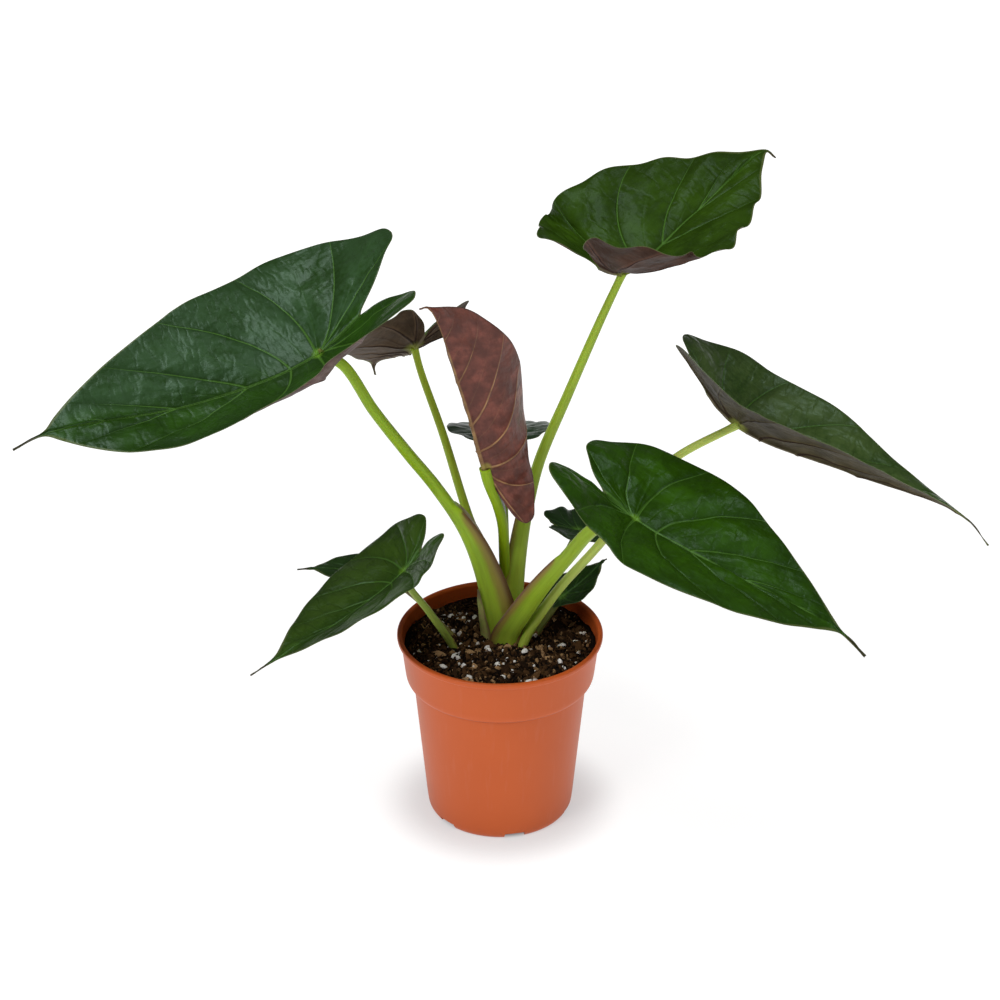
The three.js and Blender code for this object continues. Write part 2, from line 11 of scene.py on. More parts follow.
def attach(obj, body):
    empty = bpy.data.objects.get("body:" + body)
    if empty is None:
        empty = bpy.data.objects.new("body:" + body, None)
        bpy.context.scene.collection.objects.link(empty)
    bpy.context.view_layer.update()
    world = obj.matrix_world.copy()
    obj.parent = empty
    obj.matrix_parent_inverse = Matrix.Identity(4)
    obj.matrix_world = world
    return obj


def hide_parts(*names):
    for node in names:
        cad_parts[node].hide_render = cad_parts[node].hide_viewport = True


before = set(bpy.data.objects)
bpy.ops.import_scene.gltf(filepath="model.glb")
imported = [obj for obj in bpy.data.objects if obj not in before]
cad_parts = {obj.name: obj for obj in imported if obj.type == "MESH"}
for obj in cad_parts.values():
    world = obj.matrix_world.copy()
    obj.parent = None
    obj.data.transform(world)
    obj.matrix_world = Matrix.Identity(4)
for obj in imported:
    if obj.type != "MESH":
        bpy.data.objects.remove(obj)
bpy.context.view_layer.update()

# ---- The pot -----------------------------------------------------------------------------------
# A thin nursery pot, injection moulded in one piece from terracotta-coloured plastic: a tapered
# wall, a wider collar for stacking with a rounded lip, and drain notches and holes in its foot.
# Sizes are millimetres here and in all sections below; a mesh is scaled to metres when it is made.
MM = 0.001
POT_HEIGHT = 166
WALL = 1.6
POT_TURNS = 180
SHARP_EDGE = math.radians(38)
# The collar's straight outside: its radius at the height where it starts, and how far it flares.
COLLAR_RADIUS, COLLAR_Z, COLLAR_FLARE = 77.6, 130, 0.1125
# The inner corner under the collar, where shade is painted into the plastic's colour, and the height the
# dust reaches.
COLLAR_SHADE_RADIUS, COLLAR_SHADE_LOW, COLLAR_SHADE_TOP = 71.5, 122.5, 126.2
DUST_Z = 164
NOTCH_DEPTH, NOTCH_WIDTH, NOTCH_HEIGHT, NOTCH_FIRST = 14, 18, 5, 42
DRAIN_RADIUS, DRAIN_PLACE, DRAIN_FIRST = 4, 34, 12

# Each corner of the turned outline is radius, height and the radius that rounds it.
POT_OUTSIDE = [
    (0, 0, 0), (58, 0, 1.5), (60.5, 4, 2), (61.5, 12, 8), (71.9, 122.4, 0.6), (72.2, 123.2, 0.3),
    (76.2, 124.4, 1.2), (77.8, 127.0, 1.2), (78.4, 130, 2), (82, 160.6, 0.8), (84.3, 161.2, 0.9),
    (85, 162.6, 0.8), (85, 165.0, 1.0), (83.9, 166, 0.9),
]
POT_INSIDE = [
    (81.6, 166, 0.9), (80.5, 164.2, 1), (76.8, 130.6, 2), (74.8, 126.5, 1.5), (70.3, 124, 2),
    (59.9, 12, 8), (56.9, 2, 2), (0, 2, 0),
]


def rounded_outline(corners, steps=5):
    """The corners' outline with each corner turned into a short arc."""
    points = []
    for k, (radius, height, bend) in enumerate(corners):
        here = np.array([radius, height], float)
        if bend == 0 or k in (0, len(corners) - 1):
            points.append(here)
            continue
        sides = [np.array(corners[k + way][:2], float) - here for way in (-1, 1)]
        lengths = [np.linalg.norm(side) for side in sides]
        cut = min(bend, 0.45 * min(lengths))
        first, last = (here + side / length * cut for side, length in zip(sides, lengths))
        for share in np.linspace(0, 1, steps):
            points.append((1 - share) ** 2 * first + 2 * share * (1 - share) * here + share**2 * last)
    return points


def new_object(name, points, faces, smooth=True):
    """A mesh object from points in millimetres, with its faces turned outwards."""
    mesh = bpy.data.meshes.new(name)
    mesh.from_pydata((np.asarray(points) * MM).tolist(), [], [tuple(face) for face in faces])
    made = bpy.data.objects.new(name, mesh)
    bpy.context.scene.collection.objects.link(made)
    mesh.shade_smooth() if smooth else mesh.shade_flat()
    return made


def tidy_shell(made, merge=0.02):
    """Joins doubled points, drops faces with no area and turns every face outwards."""
    work = bmesh.new()
    work.from_mesh(made.data)
    bmesh.ops.remove_doubles(work, verts=work.verts, dist=merge * MM)
    bmesh.ops.dissolve_degenerate(work, edges=work.edges, dist=0.001 * MM)
    bmesh.ops.recalc_face_normals(work, faces=work.faces)
    work.to_mesh(made.data)
    work.free()


def settle(made, node, slot, *finishes):
    """Rides the piece on the body, lets it stand for its node and gives it its materials."""
    for finish in finishes:
        made.data.materials.append(finish)
    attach(made, "root")
    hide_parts(node)


def turned_shell(name, outline, turns):
    """The outline turned about the upright axis; points on the axis are one point each."""
    points, rings = [], []
    angles = 2 * math.pi * np.arange(turns) / turns
    for radius, height in outline:
        if radius < 1e-6:
            rings.append([len(points)] * turns)
            points.append((0, 0, height))
            continue
        rings.append(list(range(len(points), len(points) + turns)))
        points.extend((radius * math.cos(a), radius * math.sin(a), height) for a in angles)
    faces = []
    for low, high in zip(rings, rings[1:]):
        for i in range(turns):
            j = (i + 1) % turns
            corners = list(dict.fromkeys((low[i], low[j], high[j], high[i])))
            if len(corners) > 2:
                faces.append(corners)
    return new_object(name, points, faces)


pot = turned_shell("pot_shell", rounded_outline(POT_OUTSIDE + POT_INSIDE), POT_TURNS)

cutter_work = bmesh.new()
for i in range(6):
    turn = math.radians(NOTCH_FIRST + 60 * i)
    made = bmesh.ops.create_cube(cutter_work, size=1)["verts"]
    for vertex in made:
        x = 60.5 + vertex.co.x * NOTCH_DEPTH
        y = vertex.co.y * (NOTCH_WIDTH - 1.2 * (vertex.co.z > 0))
        z = vertex.co.z * 2 * NOTCH_HEIGHT
        vertex.co = Vector((x * math.cos(turn) - y * math.sin(turn),
                            x * math.sin(turn) + y * math.cos(turn), z)) * MM
    turn = math.radians(DRAIN_FIRST + 60 * i)
    made = bmesh.ops.create_cone(cutter_work, segments=32, radius1=DRAIN_RADIUS * MM,
                                 radius2=DRAIN_RADIUS * MM, depth=8 * MM, cap_ends=True)["verts"]
    for vertex in made:
        vertex.co += Vector((math.cos(turn), math.sin(turn), 0)) * DRAIN_PLACE * MM
cutter_mesh = bpy.data.meshes.new("pot_cutter")
cutter_work.to_mesh(cutter_mesh)
cutter_work.free()
cutter = bpy.data.objects.new("pot_cutter", cutter_mesh)
bpy.context.scene.collection.objects.link(cutter)
tidy_shell(pot)
cut = pot.modifiers.new("drain", "BOOLEAN")
cut.operation, cut.solver, cut.object = "DIFFERENCE", "EXACT", cutter


def bake_modifiers(made):
    """Turns the object with its modifiers into a plain mesh, and takes the modifiers off."""
    bpy.context.view_layer.update()
    shaped = made.evaluated_get(bpy.context.evaluated_depsgraph_get())
    mesh = bpy.data.meshes.new_from_object(shaped, preserve_all_data_layers=True,
                                           depsgraph=bpy.context.evaluated_depsgraph_get())
    made.modifiers.clear()
    made.data = mesh


bake_modifiers(pot)
bpy.data.objects.remove(cutter)
pot.data.shade_smooth()
pot.data.set_sharp_from_angle(angle=SHARP_EDGE)


class Signal:
    """A shader socket that takes part in plain sums, each of which adds its Math node."""

    def __init__(self, finish, socket):
        self.finish, self.socket = finish, socket

    def maths(self, operation, *values):
        """A Math node on the values given, which are numbers or signals."""
        return self.finish.node("ShaderNodeMath", {"operation": operation}, dict(enumerate(values)))

    def __add__(self, other):
        return self.maths("ADD", self, other)

    def __sub__(self, other):
        return self.maths("SUBTRACT", self, other)

    def __rsub__(self, other):
        return self.maths("SUBTRACT", other, self)

    def __mul__(self, other):
        return self.maths("MULTIPLY", self, other)

    def __pow__(self, other):
        return self.maths("POWER", self, other)

    def __abs__(self):
        return self.maths("ABSOLUTE", self)

    __radd__, __rmul__ = __add__, __mul__

    def ramp(self, low, high):
        """0 where the value is at low or beyond it, 1 at high, and eased between them."""
        return self.finish.node("ShaderNodeMapRange", {"interpolation_type": "SMOOTHSTEP"},
                                {0: self, 1: low, 2: high, 3: 0.0, 4: 1.0})


class Finish:
    """A material: any node comes from node(), and surface() closes it."""

    def __init__(self, name):
        self.material = bpy.data.materials.new(name)
        self.material.use_nodes = True
        self.tree = self.material.node_tree
        self.tree.nodes.clear()

    def node(self, kind, settings, sockets, out=0):
        """Adds a node, sets it up, then gives its sockets their values or links."""
        made = self.tree.nodes.new(kind)
        for key, value in settings.items():
            setattr(made, key, value)
        for key, value in sockets.items():
            if isinstance(value, Signal):
                self.tree.links.new(value.socket, made.inputs[key])
            else:
                made.inputs[key].default_value = value
        return Signal(self, made.outputs[out]) if made.outputs else made

    def place(self):
        """The object's own coordinates, in metres."""
        return self.node("ShaderNodeTexCoord", {}, {}, "Object")

    def value(self, name):
        """A number that is kept on the mesh."""
        return self.node("ShaderNodeAttribute", {"attribute_name": name}, {}, "Fac")

    def direction(self, name):
        """A vector that is kept on the mesh."""
        return self.node("ShaderNodeAttribute", {"attribute_name": name}, {}, "Vector")

    def axes(self, vector):
        """The three numbers of a vector."""
        return [self.node("ShaderNodeSeparateXYZ", {}, {0: vector}, axis) for axis in "XYZ"]

    def mapped(self, vector, scale):
        """The vector stretched along each axis."""
        return self.node("ShaderNodeMapping", {}, {"Vector": vector, "Scale": scale})

    def noise(self, vector, size, detail=2.0, rough=0.5):
        """Clouds with lumps of about the given size in millimetres, from 0 to 1."""
        sockets = {"Vector": vector, "Scale": 1 / (size * MM), "Detail": detail, "Roughness": rough}
        return self.node("ShaderNodeTexNoise", {}, sockets)

    def blend(self, share, first, second, way="MIX"):
        """The first colour turned into the second as share goes from 0 to 1."""
        first, second = (c if isinstance(c, Signal) else (*c, 1.0) for c in (first, second))
        settings = {"data_type": "RGBA", "blend_type": way}
        return self.node("ShaderNodeMix", settings, {0: share, 6: first, 7: second}, 2)

    def surface(self, colour, roughness, height=None, bump=0.5, depth=1.0, **fixed):
        """Closes the material: colour, roughness and a bump of the given depth in millimetres."""
        sockets = {"Base Color": colour, "Roughness": roughness, **fixed}
        if height is not None:
            sockets["Normal"] = self.node("ShaderNodeBump", {}, {
                "Strength": bump, "Distance": depth * MM, "Height": height})
        shader = self.node("ShaderNodeBsdfPrincipled", {}, sockets)
        self.node("ShaderNodeOutputMaterial", {}, {"Surface": shader})
        return self.material


def terracotta_plastic():
    """Satin moulded plastic, a little scuffed, with damp soil dust inside above the mix; shade is
    painted on the inside wall and under the collar's step.
    """
    finish = Finish("terracotta_plastic")
    place = finish.place()
    x, y, z = finish.axes(place)
    radius = (x * x + y * y) ** 0.5
    cloud = finish.noise(place, 60, 3.0)
    streak = finish.noise(finish.mapped(place, (1, 1, 0.12)), 5, 3.0)
    colour = finish.blend(cloud, (0.56, 0.096, 0.014), (0.63, 0.117, 0.021))
    colour = finish.blend(streak.ramp(0.55, 0.75) * 0.25, colour, (0.62, 0.15, 0.065))
    # The wall's middle line at this height tells the inside from the outside.
    middle = (z - COLLAR_Z * MM) * COLLAR_FLARE + (COLLAR_RADIUS - WALL / 2) * MM
    inside = (middle - radius).ramp(0.0, 0.0004) * z.ramp(0.131, 0.133)
    # Painted shade: the inside wall is painted darker than the outside.
    colour = finish.blend(inside * 0.8, colour, (0.26, 0.030, 0.010))
    dust = finish.noise(place, 2.5, 4.0, 0.65)
    film = inside * (DUST_Z * MM - z).ramp(0.0, 0.012) * dust.ramp(0.42, 0.62)
    colour = finish.blend(film * 0.8, colour, (0.035, 0.018, 0.010))
    # Painted shade: the corner under the collar's step is painted darker.
    shaded_crease = ((z - COLLAR_SHADE_LOW * MM).ramp(0.0, 0.0006) * (COLLAR_SHADE_TOP * MM - z).ramp(0.0, 0.0016)
              * (radius - COLLAR_SHADE_RADIUS * MM).ramp(0.0, 0.0006))
    colour = finish.blend(shaded_crease * 0.6, colour, (0.20, 0.030, 0.010))
    foot = (0.014 - z).ramp(0.0, 0.014) * dust.ramp(0.5, 0.75) * 0.35
    colour = finish.blend(foot, colour, (0.22, 0.11, 0.07))
    grain = finish.noise(place, 0.7, 3.0, 0.6)
    rough = 0.36 + cloud * 0.08 + film * 0.3 + streak * 0.06
    height = grain * 0.35 + streak * 0.65
    return finish.surface(colour, rough, height, 0.25, 0.12, **{"Specular IOR Level": 0.3})


settle(pot, "pot", "pot_plastic", terracotta_plastic())

# ---- The potting mix ---------------------------------------------------------------------------
# Coarse peat and bark with perlite, filled to a finger's breadth below the lip. The body below is
# one closed lump; the crumbs, bark chips and perlite that lie on it are strewn over its top.
SOIL_BELOW_RIM = 9
MIX_TURNS = 144
MIX_STEP = 1.6
# The lump's wall, as radius and height up the pot, and the outermost ring of its top.
MIX_WALL = [(56.6, 2.3), (59.6, 12), (70.0, 124.3), (74.5, 126.8), (76.5, 130.6), (78.8, 152.0)]
MIX_TOP_RADIUS = 78.9


def ripple(points, size, seed):
    """Soft random heights from -1 to 1 at the points, in lumps of about the given size."""
    grid = np.asarray(points, float) / size
    cell = np.floor(grid).astype(np.int64)
    part = grid - cell
    part = part * part * (3 - 2 * part)
    total = np.zeros(grid.shape[:-1])
    for corner in itertools.product((0, 1), repeat=3):
        key = cell + np.array(corner)
        code = key[..., 0] * 73856093 ^ key[..., 1] * 19349663 ^ key[..., 2] * 83492791
        code = (code ^ seed * 668265263) & 0x7FFFFFFF
        code = (code ^ code >> 13) * 1274126177 & 0x7FFFFFFF
        code = (code ^ code >> 15) * 668265263 & 0x7FFFFFFF
        share = np.prod(np.where(corner, part, 1 - part), axis=-1)
        total += share * ((code >> 7 & 0xFFFF) / 32767.5 - 1)
    return total


def soil_top(x, y):
    """The mean level of the mix, which lies a little uneven."""
    return (POT_HEIGHT - SOIL_BELOW_RIM - 0.025 * y
            + 1.1 * np.sin(0.11 * x + 1) * np.cos(0.13 * y) + 0.7 * np.sin(0.27 * x - 0.21 * y))


def mix_height(x, y):
    """The top of the solid lump: the crumbs on it bring it up to the mean level."""
    flat = np.stack([x, y, 0 * x], -1)
    return soil_top(x, y) - 1.9 + 0.9 * ripple(flat, 9, 3) + 0.5 * ripple(flat, 3.5, 4)


def tube_faces(steps, turns, ends=()):
    """The faces of a stack of rings, with a fan at each end when its two middle points are given."""
    faces = []
    for k, i in itertools.product(range(steps), range(turns)):
        a, b = k * turns + i, k * turns + (i + 1) % turns
        faces.append((a, b, b + turns, a + turns))
    if ends:
        for i in range(turns):
            j = (i + 1) % turns
            faces.append((ends[0], j, i))
            faces.append((ends[1], steps * turns + i, steps * turns + j))
    return faces


def mix_body():
    """The closed lump: its wall inside the pot, then rings of the uneven top."""
    angles = 2 * math.pi * np.arange(MIX_TURNS) / MIX_TURNS
    rings = [(radius, np.full(MIX_TURNS, float(height))) for radius, height in MIX_WALL]
    for radius in np.arange(MIX_TOP_RADIUS, MIX_STEP / 2, -MIX_STEP):
        rings.append((radius, mix_height(radius * np.cos(angles), radius * np.sin(angles))))
    points = np.concatenate([
        np.stack([radius * np.cos(angles), radius * np.sin(angles), heights], -1)
        for radius, heights in rings])
    faces = tube_faces(len(rings) - 1, MIX_TURNS, (len(points), len(points) + 1))
    middle = mix_height(np.zeros(1), np.zeros(1))[0]
    points = np.concatenate([points, [(0, 0, MIX_WALL[0][1]), (0, 0, middle)]])
    return new_object("mix_body", points, faces)


def damp_peat(name, tones, gloss=0.0):
    """Dark fibrous crumbs; a number kept on each crumb picks its tone."""
    finish = Finish(name)
    place = finish.place()
    tone = finish.value("tone")
    speck = finish.noise(place, 1.2, 4.0, 0.7)
    dark, middle, pale = tones
    colour = finish.blend((tone + speck * 0.5 - 0.25).ramp(0.1, 0.6), dark, middle)
    colour = finish.blend((tone + speck * 0.5 - 0.25).ramp(0.80, 1.05), colour, pale)
    fibre = finish.noise(finish.mapped(place, (1, 0.35, 1)), 0.5, 3.0, 0.7)
    rough = 0.95 - speck.ramp(0.55, 0.8) * (0.15 + gloss)
    return finish.surface(colour, rough, speck * 0.6 + fibre * 0.4, 0.8, 0.6,
                          **{"Specular IOR Level": 0.12})


mix = mix_body()
tidy_shell(mix)
settle(mix, "potting_mix", "mix", damp_peat(
    "peat_bed", [(0.006, 0.0035, 0.0022), (0.016, 0.008, 0.005), (0.05, 0.027, 0.015)]))


class GrowthTree:
    """A Geometry Nodes tree with named inputs: node() adds any node, as Finish.node() does."""

    def __init__(self, name, inputs):
        self.tree = bpy.data.node_groups.new(name, "GeometryNodeTree")
        self.names = {}
        face = self.tree.interface
        face.new_socket("Geometry", in_out="OUTPUT", socket_type="NodeSocketGeometry")
        for label, kind in [("Geometry", "NodeSocketGeometry"), *inputs]:
            made = face.new_socket(label, in_out="INPUT", socket_type=kind)
            self.names[label] = made.identifier
        self.source = self.tree.nodes.new("NodeGroupInput")

    def given(self, label):
        return self.source.outputs[label]

    def node(self, kind, settings, sockets, out=0):
        made = self.tree.nodes.new(kind)
        for key, value in settings.items():
            setattr(made, key, value)
        for key, value in sockets.items():
            if isinstance(value, bpy.types.NodeSocket):
                self.tree.links.new(value, made.inputs[key])
            else:
                made.inputs[key].default_value = value
        return made.outputs[out]

    def close(self, geometry):
        target = self.tree.nodes.new("NodeGroupOutput")
        self.tree.links.new(geometry, target.inputs[0])
        return self

    def grow(self, made, values):
        """Puts the tree on an object with its inputs set, and turns the result into a mesh."""
        modifier = made.modifiers.new("grow", "NODES")
        modifier.node_group = self.tree
        for label, value in values.items():
            modifier[self.names[label]] = value
        bake_modifiers(made)


def strewing_tree():
    """Strews misshapen bits over a surface: five lumps, each turned and sized at random."""
    job = GrowthTree("strewn_bits", [
        ("Per Square Metre", "NodeSocketFloat"), ("Spacing", "NodeSocketFloat"),
        ("Smallest", "NodeSocketFloat"), ("Largest", "NodeSocketFloat"),
        ("Stretch", "NodeSocketVector"), ("Tilt", "NodeSocketFloat"), ("Rough", "NodeSocketFloat"),
        ("Detail", "NodeSocketInt"), ("Seed", "NodeSocketInt"), ("Finish", "NodeSocketMaterial")])
    strewn = job.node("GeometryNodeDistributePointsOnFaces", {"distribute_method": "POISSON"}, {
        "Mesh": job.given("Geometry"), "Distance Min": job.given("Spacing"),
        "Density Max": job.given("Per Square Metre"), "Seed": job.given("Seed")})
    lumps = job.tree.nodes.new("GeometryNodeJoinGeometry")
    for variant in range(5):
        ball = job.node("GeometryNodeMeshIcoSphere", {}, {
            "Radius": 1.0, "Subdivisions": job.given("Detail")})
        cloud = job.node("ShaderNodeTexNoise", {"noise_dimensions": "4D"}, {
            "W": 3.7 * variant, "Scale": 0.9, "Detail": 1.0}, "Color")
        push = job.node("ShaderNodeVectorMath", {"operation": "SUBTRACT"}, {
            0: cloud, 1: (0.5, 0.5, 0.5)})
        push = job.node("ShaderNodeVectorMath", {"operation": "SCALE"}, {
            0: push, "Scale": job.given("Rough")})
        lump = job.node("GeometryNodeSetPosition", {}, {"Geometry": ball, "Offset": push})
        lump = job.node("GeometryNodeTransform", {}, {
            "Geometry": lump, "Scale": job.given("Stretch")})
        lump = job.node("GeometryNodeGeometryToInstance", {}, {"Geometry": lump})
        job.tree.links.new(lump, lumps.inputs[0])

    def chance(kind, low, high, salt):
        """A random value for each bit. The node keeps its own sockets for each kind of value."""
        at_low, at_high, out = {"FLOAT_VECTOR": (0, 1, 0), "FLOAT": (2, 3, 1), "INT": (4, 5, 2)}[kind]
        seed = job.node("ShaderNodeMath", {"operation": "ADD"}, {0: job.given("Seed"), 1: salt})
        sockets = {at_low: low, at_high: high, 8: seed}
        return job.node("FunctionNodeRandomValue", {"data_type": kind}, sockets, out)

    small = chance("FLOAT", 0.0, 1.0, 11)
    small = job.node("ShaderNodeMath", {"operation": "POWER"}, {0: small, 1: 2.2})
    size = job.node("ShaderNodeMapRange", {}, {
        0: small, 1: 0.0, 2: 1.0, 3: job.given("Smallest"), 4: job.given("Largest")})
    tilt = job.given("Tilt")
    lean = job.node("ShaderNodeCombineXYZ", {}, {0: tilt, 1: tilt, 2: math.pi})
    back = job.node("ShaderNodeVectorMath", {"operation": "SCALE"}, {0: lean, "Scale": -1.0})
    turn = chance("FLOAT_VECTOR", back, lean, 12)
    turn = job.node("FunctionNodeEulerToRotation", {}, {0: turn})
    bits = job.node("GeometryNodeInstanceOnPoints", {}, {
        "Points": strewn, "Instance": lumps.outputs[0], "Pick Instance": True,
        "Instance Index": chance("INT", 0, 4, 13), "Rotation": turn, "Scale": size})
    bits = job.node("GeometryNodeStoreNamedAttribute", {"data_type": "FLOAT", "domain": "INSTANCE"}, {
        "Geometry": bits, "Name": "tone", "Value": chance("FLOAT", 0.0, 1.0, 14)})
    bits = job.node("GeometryNodeRealizeInstances", {}, {"Geometry": bits})
    bits = job.node("GeometryNodeSetShadeSmooth", {}, {"Geometry": bits, "Shade Smooth": False})
    bits = job.node("GeometryNodeSetMaterial", {}, {"Geometry": bits, "Material": job.given("Finish")})
    return job.close(bits)


def bed_surface(name, reach, step=1.9):
    """The top of the mix alone, for strewing bits on."""
    count = int(2 * reach / step) + 1
    line = np.linspace(-reach, reach, count)
    x, y = (side.ravel() for side in np.meshgrid(line, line))
    points = np.stack([x, y, mix_height(x, y) + 0.5], -1)
    faces = []
    for i, j in itertools.product(range(count - 1), repeat=2):
        corners = [i * count + j, i * count + j + 1, (i + 1) * count + j + 1, (i + 1) * count + j]
        if max(math.hypot(x[c], y[c]) for c in corners) <= reach:
            faces.append(corners)
    return new_object(name, points, faces)


strewing = strewing_tree()
PEAT_TONES = [(0.007, 0.0033, 0.0014), (0.046, 0.021, 0.0075), (0.40, 0.24, 0.11)]
BARK_TONES = [(0.012, 0.005, 0.002), (0.075, 0.036, 0.013), (0.52, 0.32, 0.16)]


def perlite_white():
    """Puffed volcanic glass: chalky white grains, pitted, with a little soil in the pits."""
    finish = Finish("perlite_white")
    place = finish.place()
    pit = finish.noise(place, 0.8, 4.0, 0.7)
    soiled = finish.noise(place, 3.0, 2.0)
    colour = finish.blend(pit.ramp(0.35, 0.6), (0.62, 0.58, 0.52), (0.95, 0.94, 0.91))
    colour = finish.blend((finish.value("tone") * soiled).ramp(0.35, 0.6), colour, (0.30, 0.20, 0.13))
    return finish.surface(colour, 0.85 + pit * 0.1, pit, 0.9, 0.6)


# density is how many may lie on a square metre, spacing and sizes are millimetres, and tilt is how
# far a bit may lean. rough is how misshapen it is, detail how finely it is meshed, and reach how far
# from the pot's axis it may lie.
STREWN = {
    "peat_crumbs": dict(
        finish=damp_peat("peat_crumb", PEAT_TONES), density=260000.0, spacing=1.3, sizes=(0.8, 2.7),
        stretch=(1.2, 0.8, 0.6), tilt=math.pi, rough=1.7, detail=1, seed=21, reach=76.6),
    "bark_chips": dict(
        finish=damp_peat("bark_chip", BARK_TONES, 0.1), density=52000.0, spacing=2.6, sizes=(1.5, 5.0),
        stretch=(1.7, 0.75, 0.3), tilt=0.9, rough=1.5, detail=1, seed=22, reach=72.5),
    "perlite_grains": dict(
        finish=perlite_white(), density=6500.0, spacing=3.5, sizes=(0.7, 3.3),
        stretch=(1.15, 0.9, 0.75), tilt=math.pi, rough=1.2, detail=2, seed=23, reach=74.5),
    "perlite_lumps": dict(
        finish=perlite_white(), density=700.0, spacing=9.0, sizes=(3.0, 4.6),
        stretch=(1.25, 0.85, 0.6), tilt=0.6, rough=1.4, detail=2, seed=25, reach=72),
}
for name, kind in STREWN.items():
    bits = bed_surface(name, kind["reach"])
    small, large = kind["sizes"]
    strewing.grow(bits, {
        "Per Square Metre": kind["density"], "Spacing": kind["spacing"] * MM, "Smallest": small * MM,
        "Largest": large * MM, "Stretch": kind["stretch"], "Tilt": kind["tilt"],
        "Rough": kind["rough"], "Detail": kind["detail"], "Seed": kind["seed"],
        "Finish": kind["finish"]})
    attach(bits, "root")
    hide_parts("potting_mix")

# ---- The corm ----------------------------------------------------------------------------------
# The swollen underground stem that the leaves grow from, buried in the mix: brown and corky, with
# rings where old leaves stood. Its solid is shaped well enough, so it only gets its skin.


def corky_skin():
    """Brown cork in bands, with paler patches."""
    finish = Finish("corky_skin")
    place = finish.place()
    band = finish.noise(finish.mapped(place, (0.3, 0.3, 1)), 3.0, 3.0)
    patch = finish.noise(place, 7, 3.0)
    colour = finish.blend(band, (0.055, 0.030, 0.016), (0.20, 0.12, 0.065))
    colour = finish.blend(patch.ramp(0.5, 0.75) * 0.6, colour, (0.30, 0.22, 0.14))
    return finish.surface(colour, 0.8 + patch * 0.15, band, 0.8, 1.0)


corm_finish = corky_skin()
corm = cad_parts["corm"]
if corm.material_slots:
    for held in corm.material_slots:
        held.material = corm_finish
else:
    corm.data.materials.append(corm_finish)

# ---- The blades --------------------------------------------------------------------------------
# Eleven arrow-shaped blades, thin and glossy. Each is grown as one skin: its midrib is a curve, its
# margin is drawn flat on both sides of it, and the halves then fold and curl about the midrib. The
# mesh runs along the side veins, which are sunk in the upper face and stand out below.

